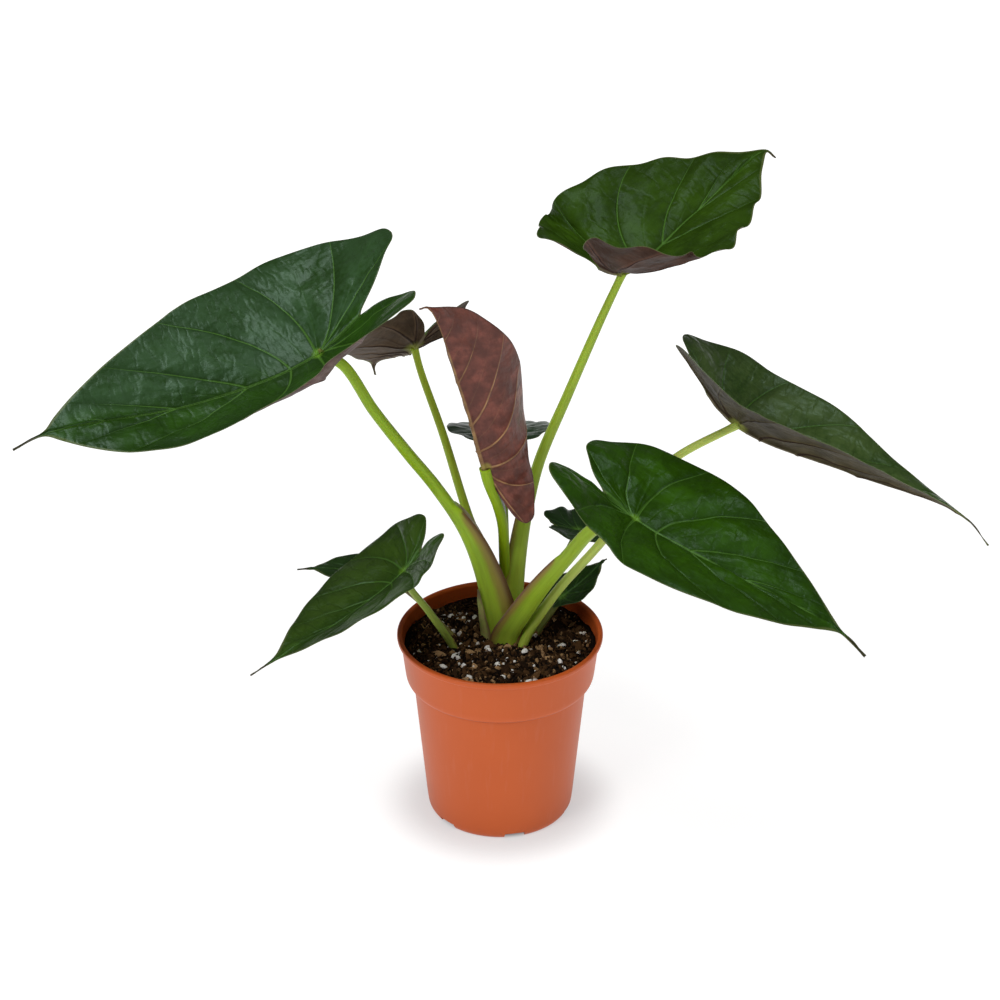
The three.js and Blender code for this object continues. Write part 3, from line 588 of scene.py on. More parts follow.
# lobes to tail are points along the midrib, with the stalk's end at the junction. face is the way
# that the blade faces, and width that of one half. fold and curl are degrees at the lobes, a third
# along and at the tip, for each half. sinus and lobe are how far the notch between the lobes reaches
# and how wide a lobe is. breadth, hind, shoulder and full shape each half's outline. quilt and wave
# are how puckered and how waved the blade is.
BLADES = {
    "left": dict(
        lobes=(-75, -20, 505), junction=(-141, -30, 434), middle=(-228, -65, 410),
        tip=(-344, -113, 407), tail=(-368, -118, 396), face=(0, -0.1, 1), width=92,
        fold=((-6, -9, -28), (-7, 32, 38)), curl=((34, 70, 10), (5, 5, 0)),
        sinus=0.45, lobe=0.62, breadth=(0.87, 1), hind=(1.01, 1), shoulder=(1.1, 1.1),
        full=(1.18, 1.18), quilt=1.0, wave=0.3),
    "right": dict(
        lobes=(141, 35, 405), junction=(191, 20, 347), middle=(281, 0, 315),
        tip=(370, -10, 282), tail=(395, -10, 253), face=(0, -0.1, 1), width=73,
        fold=((-14, -5, -14), (38, 46, 34)), curl=((0, 36, 10), (10, 0, 0)),
        sinus=0.42, lobe=0.5, breadth=(1.01, 1), hind=(1, 1.12), shoulder=(1.04, 1), full=(1.08, 1),
        quilt=1.1, wave=0.25),
    "front_right": dict(
        lobes=(53, -75, 367), junction=(104, -95, 324), middle=(169, -125, 298),
        tip=(262, -150, 255), tail=(281, -152, 234), face=(0, -0.1, 1), width=80,
        fold=((-12, 12, 5), (14, 16, 0)), curl=((0, 0, 0), (0, 0, 0)),
        sinus=0.42, lobe=0.5, breadth=(1.03, 1.03), hind=(0.92, 1.12), shoulder=(1.02, 0.84),
        full=(1.06, 1), quilt=1.6, wave=0.3),
    "top_right": dict(
        lobes=(50, 30, 501), junction=(98, 60, 463), middle=(155, 110, 490),
        tip=(216, 150, 530), tail=(224, 150, 524), face=(0.3, -0.1, 1), width=85,
        fold=((-30, 2, -4), (30, 27, 8)), curl=((10, 0, 0), (20, 20, 0)),
        sinus=0.35, lobe=0.5, breadth=(1.18, 1.06), hind=(0.78, 1.1), shoulder=(1, 1), full=(0.92, 1.08),
        quilt=1, wave=2.4),
    "front_left": dict(
        lobes=(-51, -25, 278), junction=(-77, -40, 246), middle=(-123, -75, 223),
        tip=(-179, -115, 207), tail=(-196, -120, 197), face=(0, -0.1, 1), width=50,
        fold=((25, 34, 25), (-8, -6, 5)), curl=((0, 0, 0), (0, 0, 0)),
        sinus=0.45, lobe=0.48, breadth=(1.1, 1.12), shoulder=(0.9, 0.94), quilt=1, wave=0.6),
    "furled": dict(
        lobes=(7, 10, 257), junction=(-12, 10, 313), middle=(-28, 5, 377),
        tip=(-56, 0, 459), tail=(-63, 0, 458), face=(0.66, 0.75, 0.2), width=62,
        fold=((30, 25, 8), (26, 24, 42)), curl=((115, 105, 25), (95, 90, 40)),
        sinus=0.06, lobe=0.5, shoulder=(0.65, 0.68), full=(3.4, 1.2), quilt=0.9, wave=0.4),
    "back_left": dict(
        lobes=(-49, 81, 418), junction=(-70, 90, 382), middle=(-86, 126, 358),
        tip=(-107, 165, 330), tail=(-106, 168, 319), face=(-0.2, 0.5, 0.85), width=56,
        fold=((10, 10, 5), (12, 12, 5)), curl=((0, 0, 0), (0, 0, 0)),
        sinus=0.42, lobe=0.62, breadth=(1, 1.15), quilt=1.1, wave=0.8),
    "back": dict(
        lobes=(2, 92, 292), junction=(0, 130, 283), middle=(-2, 190, 260),
        tip=(-3, 240, 238), tail=(-3, 250, 229), face=(0, 0, 1), width=45,
        sinus=0.4, lobe=0.6, quilt=0.9, wave=0.6),
    "back_right": dict(
        lobes=(38, 45, 243), junction=(65, 50, 234), middle=(97, 65, 235),
        tip=(124, 80, 235), tail=(131, 82, 230), face=(0, 0, 1), width=30,
        sinus=0.7, lobe=0.45, quilt=0.9, wave=0.6),
    "low_right": dict(
        lobes=(39, 22, 177), junction=(52, 27, 183), middle=(70, 38, 193),
        tip=(86, 48, 205), tail=(89, 48, 207), face=(0, 0, 1), width=23,
        sinus=0.4, lobe=0.6, breadth=(1, 0.88), hind=(1, 0.8), shoulder=(1, 0.7),
        quilt=0.8, wave=0.8),
    "low_left": dict(
        lobes=(-84, 20, 208), junction=(-106, 20, 209), middle=(-132, 20, 213),
        tip=(-156, 20, 214), tail=(-167, 20, 213), face=(0, 0, 1), width=27,
        sinus=0.4, lobe=0.6, quilt=0.8, wave=0.4),
}
PLAIN_FOLD = ((10, 5, 0), (10, 5, 0))
NO_CURL = ((0, 0, 0), (0, 0, 0))
SKIN = 0.7
TAIL_WIDTH = 1.8
KEEL_DEPTH = 3.0
# The swelling between two main veins: its rise for each millimetre of their gap, and the widest gap.
PILLOW_RISE, WIDEST_GAP = 0.060, 42
WAVE_LENGTH = 38
# Where the main side veins and the lobe's rib and its branch lie, counted in rows of the outline.
MAIN_VEINS = (2.3, 2.7, 3.56, 4.83, 6.23, 8.1, 10.25, 13.2)
THIN_VEINS = (3.1, 4.2, 5.5, 7.15, 9.2, 11.6, 14.6)
ROW_STEP = 2.6
# The rows of the outline: the first one on the lobe, and the last one, at the notch between them.
LOBE_ROW, LAST_ROW = 9, 16


def smooth_route(knots, per_span, paced_by=3):
    """A centripetal curve through the knots, with the same number of steps in each span; its pace
    comes from the first few of their numbers."""
    knots = [np.array(k, float) for k in knots]
    knots = [2 * knots[0] - knots[1], *knots, 2 * knots[-1] - knots[-2]]
    line = []
    for k in range(1, len(knots) - 2):
        p0, p1, p2, p3 = knots[k - 1:k + 3]
        t0, t1, t2 = (max(np.linalg.norm((b - a)[:paced_by]) ** 0.5, 1e-4)
                      for a, b in ((p0, p1), (p1, p2), (p2, p3)))
        m1 = ((p1 - p0) / t0 - (p2 - p0) / (t0 + t1) + (p2 - p1) / t1) * t1
        m2 = ((p2 - p1) / t1 - (p3 - p1) / (t1 + t2) + (p3 - p2) / t2) * t1
        for u in np.arange(per_span) / per_span:
            line.append((2 * u**3 - 3 * u**2 + 1) * p1 + (u**3 - 2 * u**2 + u) * m1
                        + (3 * u**2 - 2 * u**3) * p2 + (u**3 - u**2) * m2)
    return np.array([*line, knots[-2]])


class Midrib:
    """The midrib as a curve measured from the junction: negative towards the lobes."""

    def __init__(self, blade, per_span=160):
        knots = [blade[part] for part in ("lobes", "junction", "middle", "tip", "tail")]
        self.line = smooth_route(knots, per_span)
        steps = np.linalg.norm(np.diff(self.line, axis=0), axis=1)
        self.run = np.concatenate([[0], np.cumsum(steps)])
        self.back = self.run[per_span]
        self.length = self.run[3 * per_span] - self.back
        self.tail = self.run[-1] - self.run[3 * per_span]

    def at(self, place):
        """The curve's point at a place; it runs on straight behind the lobes."""
        run = np.clip(place + self.back, 0, self.run[-1])
        beyond = np.minimum(place + self.back, 0)[..., None]
        first = (self.line[1] - self.line[0]) / self.run[1]
        on_line = np.stack([np.interp(run, self.run, self.line[:, i]) for i in range(3)], -1)
        return on_line + first * beyond

    def tangent(self, place):
        way = self.at(place + 1) - self.at(place - 1)
        return way / np.linalg.norm(way, axis=-1, keepdims=True)


def outline_rows(blade, midrib, side):
    """Half the margin from the tail round the lobe to the sinus, laid flat. Each row is a side
    vein's line: where it ends, [place, reach], where it starts and how it bends."""
    half = 0 if side > 0 else 1
    length, back, tail = midrib.length, midrib.back, midrib.tail
    sinus, lobe = blade["sinus"], blade["lobe"]
    width = blade["width"] * blade.get("breadth", (1, 1))[half]
    hind = blade.get("hind", (1, 1))[half]
    flank, full = width * blade.get("shoulder", (1, 1))[half], blade.get("full", (1, 1))[half]
    rows = [
        (length + tail, TAIL_WIDTH / 2, length + tail, length + tail, 0.6),
        (length + tail / 2, TAIL_WIDTH / 2, length + tail / 2, length + tail / 2, 0.6),
        (length, 1.2 * TAIL_WIDTH, 0.97 * length, 0.985 * length, 0.6),
    ]
    for place, reach, start, lean in (
            (0.95, 0.085, 0.70, 0.45), (0.87, 0.22, 0.42, 0.42), (0.73, 0.45, 0.25, 0.32),
            (0.55, 0.7, 0.13, 0.12), (0.36, 0.89, 0.06, 0.02), (0.15, 0.99, 0.01, -0.25)):
        bend = start + (place - start) * lean
        rows.append((place * length, reach ** (1 / full) * width, start * length, bend * length, 0.6))
    rows.append((-0.06 * length, flank, 0, -0.16 * back, 0.5))
    for place, reach, start, bend, hold in (
            (0.45, 0.95, 0, 0.36, 0.22), (0.78, 0.45 + 0.5 * lobe, 0, 0.45, 0.19),
            (0.97, lobe + 0.06, 0, 0.5, 0.23), (1, lobe - 0.12, 0, 0.5, 0.31),
            (0.88, lobe - 0.27, 0, 0.45, 0.34),
            (0.45 + 0.55 * sinus, 0.45 * (lobe - 0.3), 0.5 * sinus, 0.3 + 0.4 * sinus, 0.4),
            (sinus, 0, sinus, sinus, 0.4)):
        stretch = 1 + (hind - 1) * min(1, reach / 0.2)
        rows.append((-place * stretch * back, reach * flank, -start * back,
                     -bend * stretch * back, hold))
    return np.array(rows)


def along_blade(values, midrib, place):
    """A value given at the lobes, a third along and at the tip, at any place."""
    a, b, c = -midrib.back, midrib.length / 3, midrib.length
    x = np.clip(place, a, c)
    lobes, third, tip = values
    return (lobes * (x - b) * (x - c) / ((a - b) * (a - c))
            + third * (x - a) * (x - c) / ((b - a) * (b - c))
            + tip * (x - a) * (x - b) / ((c - a) * (c - b)))


def blade_points(blade, midrib, place, reach, side):
    """Where points of the flat blade lie once its half is folded and curled, and which way is up."""
    half = 0 if side > 0 else 1
    fold = np.radians(along_blade(blade.get("fold", PLAIN_FOLD)[half], midrib, place))
    turn = np.radians(along_blade(blade.get("curl", NO_CURL)[half], midrib, place)) / blade["width"]
    turn = np.where(np.abs(turn) < 1e-7, 1e-7, turn)
    outward = (np.sin(fold + turn * reach) - np.sin(fold)) / turn
    upward = (np.cos(fold) - np.cos(fold + turn * reach)) / turn
    tangent = midrib.tangent(place)
    face = np.array(blade["face"], float) / np.linalg.norm(blade["face"])
    up = face - (tangent @ face)[..., None] * tangent
    up /= np.linalg.norm(up, axis=-1, keepdims=True)
    left = np.cross(up, tangent)
    return midrib.at(place) + left * (side * outward)[..., None] + up * upward[..., None], up


class Rays:
    """The side veins' lines as one family over the half blade: row number and share give a point."""

    def __init__(self, blade, midrib, side):
        knots = outline_rows(blade, midrib, side)
        self.per = 40
        self.table = smooth_route(knots, self.per, 2)
        self.table[:, 1] = np.maximum(self.table[:, 1], 0)
        on_lobe = LOBE_ROW * self.per
        self.table[on_lobe:, 2] = np.minimum(self.table[on_lobe:, 2], 0)
        self.table[:on_lobe, 2] = np.maximum(self.table[:on_lobe, 2], 0)
        self.rows = np.arange(len(self.table)) / self.per

    def margin(self, row):
        return [np.interp(row, self.rows, self.table[:, i]) for i in range(5)]

    def at(self, row, share):
        """Place and reach at a share of the way out along the row's vein."""
        place, reach, start, bend, hold = self.margin(row)
        rest = 1 - share
        return (rest**2 * start + 2 * rest * share * bend + share**2 * place,
                2 * rest * share * hold * reach + share**2 * reach)

    def spacing(self, row, share):
        """Millimetres between neighbouring rows, measured across the vein."""
        step = 0.02
        p0, r0 = self.at(row - step, share)
        p1, r1 = self.at(row + step, share)
        q0, s0 = self.at(row, np.clip(share - step, 0, 1))
        q1, s1 = self.at(row, np.clip(share + step, 0, 1))
        run = np.maximum(np.hypot(q1 - q0, s1 - s0), 1e-6)
        return np.abs((p1 - p0) * (s1 - s0) - (r1 - r0) * (q1 - q0)) / run / (2 * step)


def row_numbers(halves):
    """Rows close enough for a smooth margin, and a close set of them over each vein, the same for
    both halves of the blade."""
    numbers = []
    rays = halves[0]
    steps = np.max([np.linalg.norm(np.diff(half.table[:, :2], axis=0), axis=1)
                    for half in halves], axis=0)
    for k in range(LAST_ROW):
        span = steps[k * rays.per:(k + 1) * rays.per].sum()
        count = max(2, math.ceil(span / ROW_STEP))
        numbers.extend(k + np.arange(count) / count)
    numbers.append(float(LAST_ROW))
    close = []
    for veins, offsets in ((MAIN_VEINS, (-1.7, -0.85, -0.35, 0, 0.35, 0.85, 1.7)),
                           (THIN_VEINS, (-0.6, 0, 0.6))):
        for vein in veins:
            scale = max(float(rays.spacing(np.array(vein), np.array(0.5))), 4)
            close.extend(vein + offset / scale for offset in offsets)
    close = np.array(close)
    kept = [n for n in numbers if n in (0, LAST_ROW) or np.abs(close - n).min() > 0.012]
    return np.unique(np.round(np.concatenate([kept, close]), 5))


def column_reach(reach):
    """Reaches of the mesh's columns on a row: close beside the midrib and at the margin."""
    inner = np.array([0, 0.6, 1.2, 1.9, 2.8, 4.0])
    outer = np.array([3.0, 1.6, 0.8, 0.3, 0])
    shrink = min(1, reach / 18)
    middle = np.linspace(inner[-1] * shrink, reach - outer[0] * shrink, 20)
    return np.concatenate([inner[:-1] * shrink, middle, reach - outer[1:] * shrink])


def nearest_vein(rows, spacing, veins, cap):
    """Distance in millimetres to the nearest of the veins, up to a cap."""
    gaps = np.stack([np.abs(rows - vein) for vein in veins])
    return np.minimum(gaps.min(axis=0) * spacing, cap)


def swelling(rows, spacing):
    """How high each point stands between its two main veins, up to 1, and their gap, up to a cap."""
    walls = np.array([2.0, *MAIN_VEINS[2:], LAST_ROW])
    low = walls[np.clip(np.searchsorted(walls, rows, "right") - 1, 0, len(walls) - 2)]
    high = walls[np.clip(np.searchsorted(walls, rows, "right"), 1, len(walls) - 1)]
    part = np.clip((rows - low) / (high - low), 0, 1)
    return (4 * part * (1 - part)) ** 0.7, np.minimum((high - low) * spacing, WIDEST_GAP)


def blade_half(blade, midrib, side, rays, numbers, seed):
    """One half's middle skin as a grid, with what its faces and its finish need at each point."""
    # A column's reach is known, so its share of the way out along the bent vein is solved for.
    ends = rays.margin(numbers)[1]
    hold = rays.margin(numbers)[4][:, None]
    reach = np.array([column_reach(end) for end in ends])
    share = reach / np.maximum(ends, 1e-9)[:, None]
    share[ends < 1e-6] = 0
    hold = np.where(np.abs(hold - 0.5) < 1e-3, 0.501, hold)
    share = (np.sqrt(hold**2 + (1 - 2 * hold) * share) - hold) / (1 - 2 * hold)
    rows = np.broadcast_to(numbers[:, None], share.shape)
    place, reach = rays.at(rows, share)
    spacing = rays.spacing(rows, share)
    points, up = blade_points(blade, midrib, place, reach, side)
    rim = ends[:, None] - reach

    # The blade swells between its veins, lumps lie on the swellings, and the margin is waved.
    out = np.sin(np.pi * np.clip(share, 0, 1)) ** 0.6
    pillow, gap = swelling(rows, spacing)
    pillow = pillow * out
    flat = np.stack([place, side * reach, np.full(place.shape, 40.0 * seed)], -1)
    size = min(1, blade["width"] / 60)
    edge = np.exp(-rim / (9 * size))
    arc = np.cumsum(np.concatenate([[0], np.hypot(np.diff(place[:, -1]), np.diff(reach[:, -1]))]))
    body = np.clip(ends / (0.5 * blade["width"]), 0, 1)[:, None]
    wave = np.sin(2 * np.pi * arc / (WAVE_LENGTH * size + 6) + seed)[:, None]
    wave = wave * edge * body * blade["wave"]
    lift = (blade["quilt"] * (PILLOW_RISE * pillow * gap
                              + 1.5 * size * out * ripple(flat * (0.8, 1, 1), 17 * size, 5)
                              + 0.5 * size * out * ripple(flat, 7.5 * size, 6))
            + wave + 0.8 * wave * ripple(flat, 30, 7))

    # Veins are sunk above and stand out below. They fade at the margin and towards the tip, and the
    # midrib's keel dwindles to both its ends.
    main = nearest_vein(rows, spacing, MAIN_VEINS, 6) + 0.2 * np.maximum(5.5 - rows, 0)
    thin = nearest_vein(rows, spacing, THIN_VEINS, 6) + 0.1 * np.maximum(5.5 - rows, 0)
    fade = np.clip(1.15 - share, 0, 1) * np.clip(ends / 12, 0, 1)[:, None]
    taper = np.where(place > 0, 1 - place / (midrib.length + midrib.tail), 1 + place / midrib.back)
    taper = np.clip(taper, 0, 1)
    keel = KEEL_DEPTH * size * taper * np.exp(-(reach / (1.7 * size)) ** 2)
    sink = (0.5 * size * np.exp(-(main / 0.75) ** 2) * fade + 0.16 * np.exp(-(thin / 0.6) ** 2) * fade
            + 0.7 * size * np.exp(-(reach / (1.1 * size)) ** 2) * np.sqrt(taper))
    ridge = (0.75 * size * np.exp(-(main / 0.85) ** 2) * fade
             + 0.2 * size * np.exp(-(thin / 0.6) ** 2) * fade)
    facts = {"vein": main, "thin": thin, "rib": reach, "rim": rim, "run": share,
             "along": place / midrib.length, "pillow": pillow, "spot": np.hypot(place, reach)}
    return {"points": points, "up": up, "flat": flat, "lift": lift, "keel": keel, "sink": sink,
            "ridge": ridge, "rim": rim, "facts": facts}


def grid_normals(points, up):
    """Unit normals of a grid of points, on the side of up along its middle."""
    rows = np.gradient(points, axis=0)
    columns = np.gradient(points, axis=1)
    normals = np.cross(rows, columns)
    length = np.linalg.norm(normals, axis=-1, keepdims=True)
    normals = np.where(length > 1e-6, normals / np.maximum(length, 1e-6), up)
    middle = points.shape[1] // 2
    return normals * np.sign((normals * up)[:, middle - 4:middle + 5].sum())


def keep_on_points(made, key, values):
    """Keeps a number or a vector for each point of the mesh, which its finish reads."""
    kind, field = ("FLOAT", "value") if np.ndim(values) == 1 else ("FLOAT_VECTOR", "vector")
    made.data.attributes.new(key, kind, "POINT").data.foreach_set(field, np.ravel(values))


def blade_object(name, blade, seed):
    """Both halves side by side as one grid, thickened into a closed shell with a rounded rim."""
    midrib = Midrib(blade)
    rays = [Rays(blade, midrib, side) for side in (1, -1)]
    numbers = row_numbers(rays)
    left, right = (blade_half(blade, midrib, side, rays[side < 0], numbers, seed + (side < 0))
                   for side in (1, -1))

    def both(key, inner=None):
        a, b = (half[key] if inner is None else half[key][inner] for half in (left, right))
        return np.concatenate([a[:, ::-1], b[:, 1:]], axis=1)

    points, up, lift = both("points"), both("up"), both("lift")
    normals = grid_normals(points, up)
    middle = points.shape[1] // 2
    normals[:, middle] = up[:, middle]
    thick = 0.5 * SKIN * (0.55 + 0.45 * np.clip(both("rim") / 3, 0, 1))
    centre = points + normals * lift[..., None]
    upper = centre + normals * (thick - both("sink"))[..., None]
    lower = centre - normals * (thick + both("ridge") + both("keel"))[..., None]
    rows, columns = points.shape[:2]
    edge_out = []
    for column, inward in ((0, 1), (columns - 1, columns - 2)):
        way = centre[:, column] - centre[:, inward]
        way /= np.maximum(np.linalg.norm(way, axis=-1, keepdims=True), 1e-6)
        edge_out.append(centre[:, column] + way * 0.28)
    end_out = centre[0] + (centre[0] - centre[1]) * 0.02
    everything = np.concatenate([upper.reshape(-1, 3), lower.reshape(-1, 3), *edge_out, end_out])
    count = rows * columns
    cells = np.arange(count).reshape(rows, columns)
    faces = []
    for grid, flip in ((cells, False), (cells + count, True)):
        a, b, c, d = grid[:-1, :-1], grid[1:, :-1], grid[1:, 1:], grid[:-1, 1:]
        quads = np.stack([a, b, c, d] if not flip else [a, d, c, b], -1).reshape(-1, 4)
        faces.extend(quads.tolist())
    for k, column in enumerate((0, columns - 1)):
        rim = 2 * count + k * rows + np.arange(rows)
        top, low = cells[:, column], cells[:, column] + count
        for r in range(rows - 1):
            faces.append([top[r], rim[r], rim[r + 1], top[r + 1]])
            faces.append([rim[r], low[r], low[r + 1], rim[r + 1]])
    end = 2 * count + 2 * rows + np.arange(columns)
    for c in range(columns - 1):
        faces.append([cells[0, c], cells[0, c + 1], end[c + 1], end[c]])
        faces.append([end[c], end[c + 1], cells[0, c + 1] + count, cells[0, c] + count])
    made = new_object(f"blade_{name}", everything, faces)

    def on_shell(grid):
        """The grid's values for each point of the shell: both faces, both margins and the end."""
        face = grid.reshape(count, *grid.shape[2:])
        return np.concatenate([face, face, grid[:, 0], grid[:, -1], grid[0]])

    for key in left["facts"]:
        keep_on_points(made, key, on_shell(both("facts", key)))
    keep_on_points(made, "flat", MM * on_shell(both("flat")))
    under = np.zeros(len(faces), dtype=np.int32)
    half = (rows - 1) * (columns - 1)
    under[half:2 * half] = 1
    made.data.polygons.foreach_set("material_index", under)
    tidy_shell(made, 0.01)
    return made


# How each blade is coloured: the green of its upper face, its underside and the veins below, how
# clear the veins and the painted shade are, how glossy it is, and the painted sheen with the half that
# it lies on.
TINTS = {
    "left": dict(
        green=(0.015, 0.052, 0.001), under=(0.125, 0.078, 0.070), below=(0.070, 0.036, 0.034),
        gloss=0.32, painted_sheen=(0.033, 0.078, 0.028), side=-1),
    "right": dict(
        green=(0.032, 0.078, 0.005), under=(0.056, 0.046, 0.022), below=(0.026, 0.014, 0.009),
        gloss=0.36, painted_sheen=(0.068, 0.112, 0.026), side=1),
    "front_right": dict(
        green=(0.020, 0.066, 0.0004), under=(0.11, 0.07, 0.06), below=(0.05, 0.02, 0.02)),
    "top_right": dict(
        green=(0.024, 0.058, 0.002), under=(0.078, 0.040, 0.028), below=(0.035, 0.018, 0.016),
        gloss=0.12),
    "front_left": dict(
        green=(0.028, 0.072, 0.003), under=(0.10, 0.07, 0.05), below=(0.05, 0.03, 0.02),
        gloss=0.34, painted_sheen=(0.046, 0.098, 0.006), side=-1),
    "furled": dict(
        green=(0.040, 0.014, 0.012), under=(0.185, 0.054, 0.037), below=(0.42, 0.23, 0.10)),
    "back_left": dict(
        green=(0.018, 0.055, 0.012), under=(0.075, 0.050, 0.030), below=(0.028, 0.016, 0.010)),
    "back": dict(
        green=(0.020, 0.050, 0.016), under=(0.10, 0.09, 0.07), below=(0.04, 0.03, 0.02), clear=0.35),
    "back_right": dict(
        green=(0.012, 0.032, 0.006), under=(0.08, 0.05, 0.04), below=(0.03, 0.02, 0.01), clear=0.3),
    "low_right": dict(
        green=(0.013, 0.036, 0.006), under=(0.08, 0.06, 0.04), below=(0.03, 0.02, 0.01), clear=0.3),
    "low_left": dict(
        green=(0.020, 0.055, 0.008), under=(0.09, 0.06, 0.05), below=(0.04, 0.02, 0.02), clear=0.3),
}


def scaled(colour, by):
    return tuple(part * by for part in colour)


def wrinkles(finish, flat, size, sharp):
    """Thin creases that run roughly along the side veins, from 0 to 1."""
    fold = finish.noise(finish.mapped(flat, (1, 0.5, 1)), size, 2.0, 0.55) * 2.0 - 1.0
    return (1.0 - abs(fold)).ramp(sharp, 1.0)


def vein_lines(finish, width, thin_width):
    """Masks of the main veins, the thin ones and the midrib, each fading as it runs out."""
    run, fan = finish.value("run"), finish.value("vein")
    main = (width * (1.15 - run) - fan).ramp(-0.35, 0.25)
    thin = (thin_width * (1.0 - run) - finish.value("thin")).ramp(-0.3, 0.2)
    along = finish.value("along")
    rib = (1.25 - abs(along) * 0.95 - finish.value("rib")).ramp(-0.45, 0.35)
    return main, thin, rib


# The colours of the veins, the midrib, the spot over the stalk and the margin, by the leaf's age.
UPPER = {
    "grown": dict(vein=(0.070, 0.170, 0.022), rib=(0.090, 0.210, 0.030), spot=(0.14, 0.30, 0.02),
                  margin=(0.20, 0.22, 0.08)),
    "young": dict(vein=(0.34, 0.20, 0.09), rib=(0.40, 0.26, 0.10), spot=(0.40, 0.26, 0.10),
                  margin=(0.10, 0.045, 0.03)),
}


def glossy_green(name, age, green, clear=1.0, gloss=0.24, painted_sheen=None, side=0, **rest):
    """The upper face: dark glossy green, puckered between pale sunken veins, with shade painted in the
    hollows beside the main veins and along the creases. Some leaves have a painted sheen on one half."""
    finish = Finish(f"{name}_upper")
    skin = UPPER[age]
    flat = finish.direction("flat")
    main, thin, rib = vein_lines(finish, 0.75, 0.35)
    patch = finish.noise(flat, 38, 3.0)
    mottle = finish.noise(flat, 5, 3.0, 0.6)
    colour = finish.blend(patch.ramp(0.3, 0.7), scaled(green, 0.7), scaled(green, 1.3))
    colour = finish.blend(mottle.ramp(0.35, 0.75) * 0.35, colour, scaled(green, 1.6))
    # Painted sheen: a pale blue-green patch on one half stands in for a reflected sheen.
    if painted_sheen:
        out = finish.axes(flat)[1]
        sheen_patch = (out * side).ramp(0.001, 0.016) * (patch * 0.6 + mottle * 0.4).ramp(0.28, 0.55)
        colour = finish.blend(sheen_patch * 0.9, colour, painted_sheen)
    swell = finish.value("pillow").ramp(0.0, 0.9)
    # Painted shade: the hollows beside the main veins, off the swellings, are painted darker green.
    colour = finish.blend((1.0 - swell) * (0.5 * clear), colour, scaled(green, 0.5))
    shaded_crease = wrinkles(finish, flat, 15, 0.82)
    # Painted shade: the creases are painted darker green.
    colour = finish.blend(shaded_crease * (0.25 * clear), colour, scaled(green, 0.5))
    colour = finish.blend(thin * (0.15 * clear), colour, skin["vein"])
    colour = finish.blend(main * (0.8 * clear), colour, skin["vein"])
    colour = finish.blend(rib * (0.75 * clear), colour, skin["rib"])
    spot = (6.5 - finish.value("spot")).ramp(0, 5)
    colour = finish.blend(spot * (0.8 * clear), colour, skin["spot"])
    margin = (0.35 - finish.value("rim")).ramp(-0.15, 0.2)
    colour = finish.blend(margin * 0.35, colour, skin["margin"])
    dry = finish.value("along").ramp(1.0, 1.06)
    colour = finish.blend(dry * 0.85, colour, (0.045, 0.026, 0.012))
    pucker = finish.noise(finish.mapped(flat, (0.6, 1, 1)), 11, 1.5, 0.4)
    fine = finish.noise(finish.mapped(flat, (0.5, 1, 1)), 3.6, 2.0, 0.5)
    rough = 0.29 + mottle * 0.08 + patch * 0.05 + rib * 0.1
    height = pucker * 0.80 + fine * 0.14 - shaded_crease * 0.085
    return finish.surface(colour, rough, height, 1.0, 2.6,
                          **{"Specular IOR Level": gloss, "Specular Tint": (0.72, 1.0, 0.88, 1.0)})


# By the leaf's age: the main veins' width, the lumps' size in the clouds and how deep they go, how
# bright the skin is beside a vein, how clear thin veins are and how much shade is painted in the
# creases, the colours of the midrib, the spot over the stalk and the margin, the spot's reach and soft
# edge, and the surface.
UNDERSIDE = {
    "grown": dict(vein_width=1.4, cloud=26, deep=0.65, beside=2.0, thin=0.5, shaded_crease=0.3,
                  rib=(0.20, 0.17, 0.11), spot=(0.30, 0.34, 0.07), margin=(0.20, 0.24, 0.09),
                  spot_reach=12, spot_edge=10, rough=0.44, gloss=0.05, depth=1.3),
    "young": dict(vein_width=0.8, cloud=12, deep=0.62, beside=0.7, thin=0.12, shaded_crease=0.55,
                  rib=(0.45, 0.27, 0.10), spot=(0.36, 0.30, 0.06), margin=(0.045, 0.02, 0.016),
                  spot_reach=7, spot_edge=3, rough=0.34, gloss=0.3, depth=2.6),
}


def matt_underside(name, age, under, below, **rest):
    """The underside: flushed purple-brown and nearly matt, with its veins standing out and shade painted
    in its creases.
    """
    finish = Finish(f"{name}_under")
    skin = UNDERSIDE[age]
    flat = finish.direction("flat")
    main, thin, rib = vein_lines(finish, skin["vein_width"], 0.5)
    patch = finish.noise(flat, skin["cloud"], 3.0)
    mottle = finish.noise(flat, 3.2, 4.0, 0.65)
    colour = finish.blend(patch.ramp(0.35, 0.62), scaled(under, skin["deep"]), scaled(under, 1.25))
    colour = finish.blend(mottle.ramp(0.4, 0.75) * 0.55, colour, scaled(under, 0.55))
    beside = (3.2 - finish.value("vein")).ramp(0, 2.5)
    colour = finish.blend(beside * 0.6, colour, scaled(under, skin["beside"]))
    colour = finish.blend(thin * skin["thin"], colour, below)
    colour = finish.blend(main * 0.95, colour, below)
    colour = finish.blend(rib * 0.85, colour, skin["rib"])
    spot = (skin["spot_reach"] - finish.value("spot")).ramp(0, skin["spot_edge"])
    colour = finish.blend(spot * 0.85, colour, skin["spot"])
    margin = (0.45 - finish.value("rim")).ramp(-0.15, 0.2)
    colour = finish.blend(margin * 0.6, colour, skin["margin"])
    pucker = finish.noise(finish.mapped(flat, (0.6, 1, 1)), 8, 2.0, 0.5)
    shaded_crease = wrinkles(finish, flat, 20, 0.72)
    # Painted shade: the creases are painted darker.
    colour = finish.blend(shaded_crease * skin["shaded_crease"], colour, scaled(under, 0.45))
    rough = skin["rough"] + mottle * 0.14
    height = pucker * 0.84 + mottle * 0.12 - shaded_crease * 0.08
    return finish.surface(colour, rough, height, 0.9, skin["depth"],
                          **{"Specular IOR Level": skin["gloss"]})


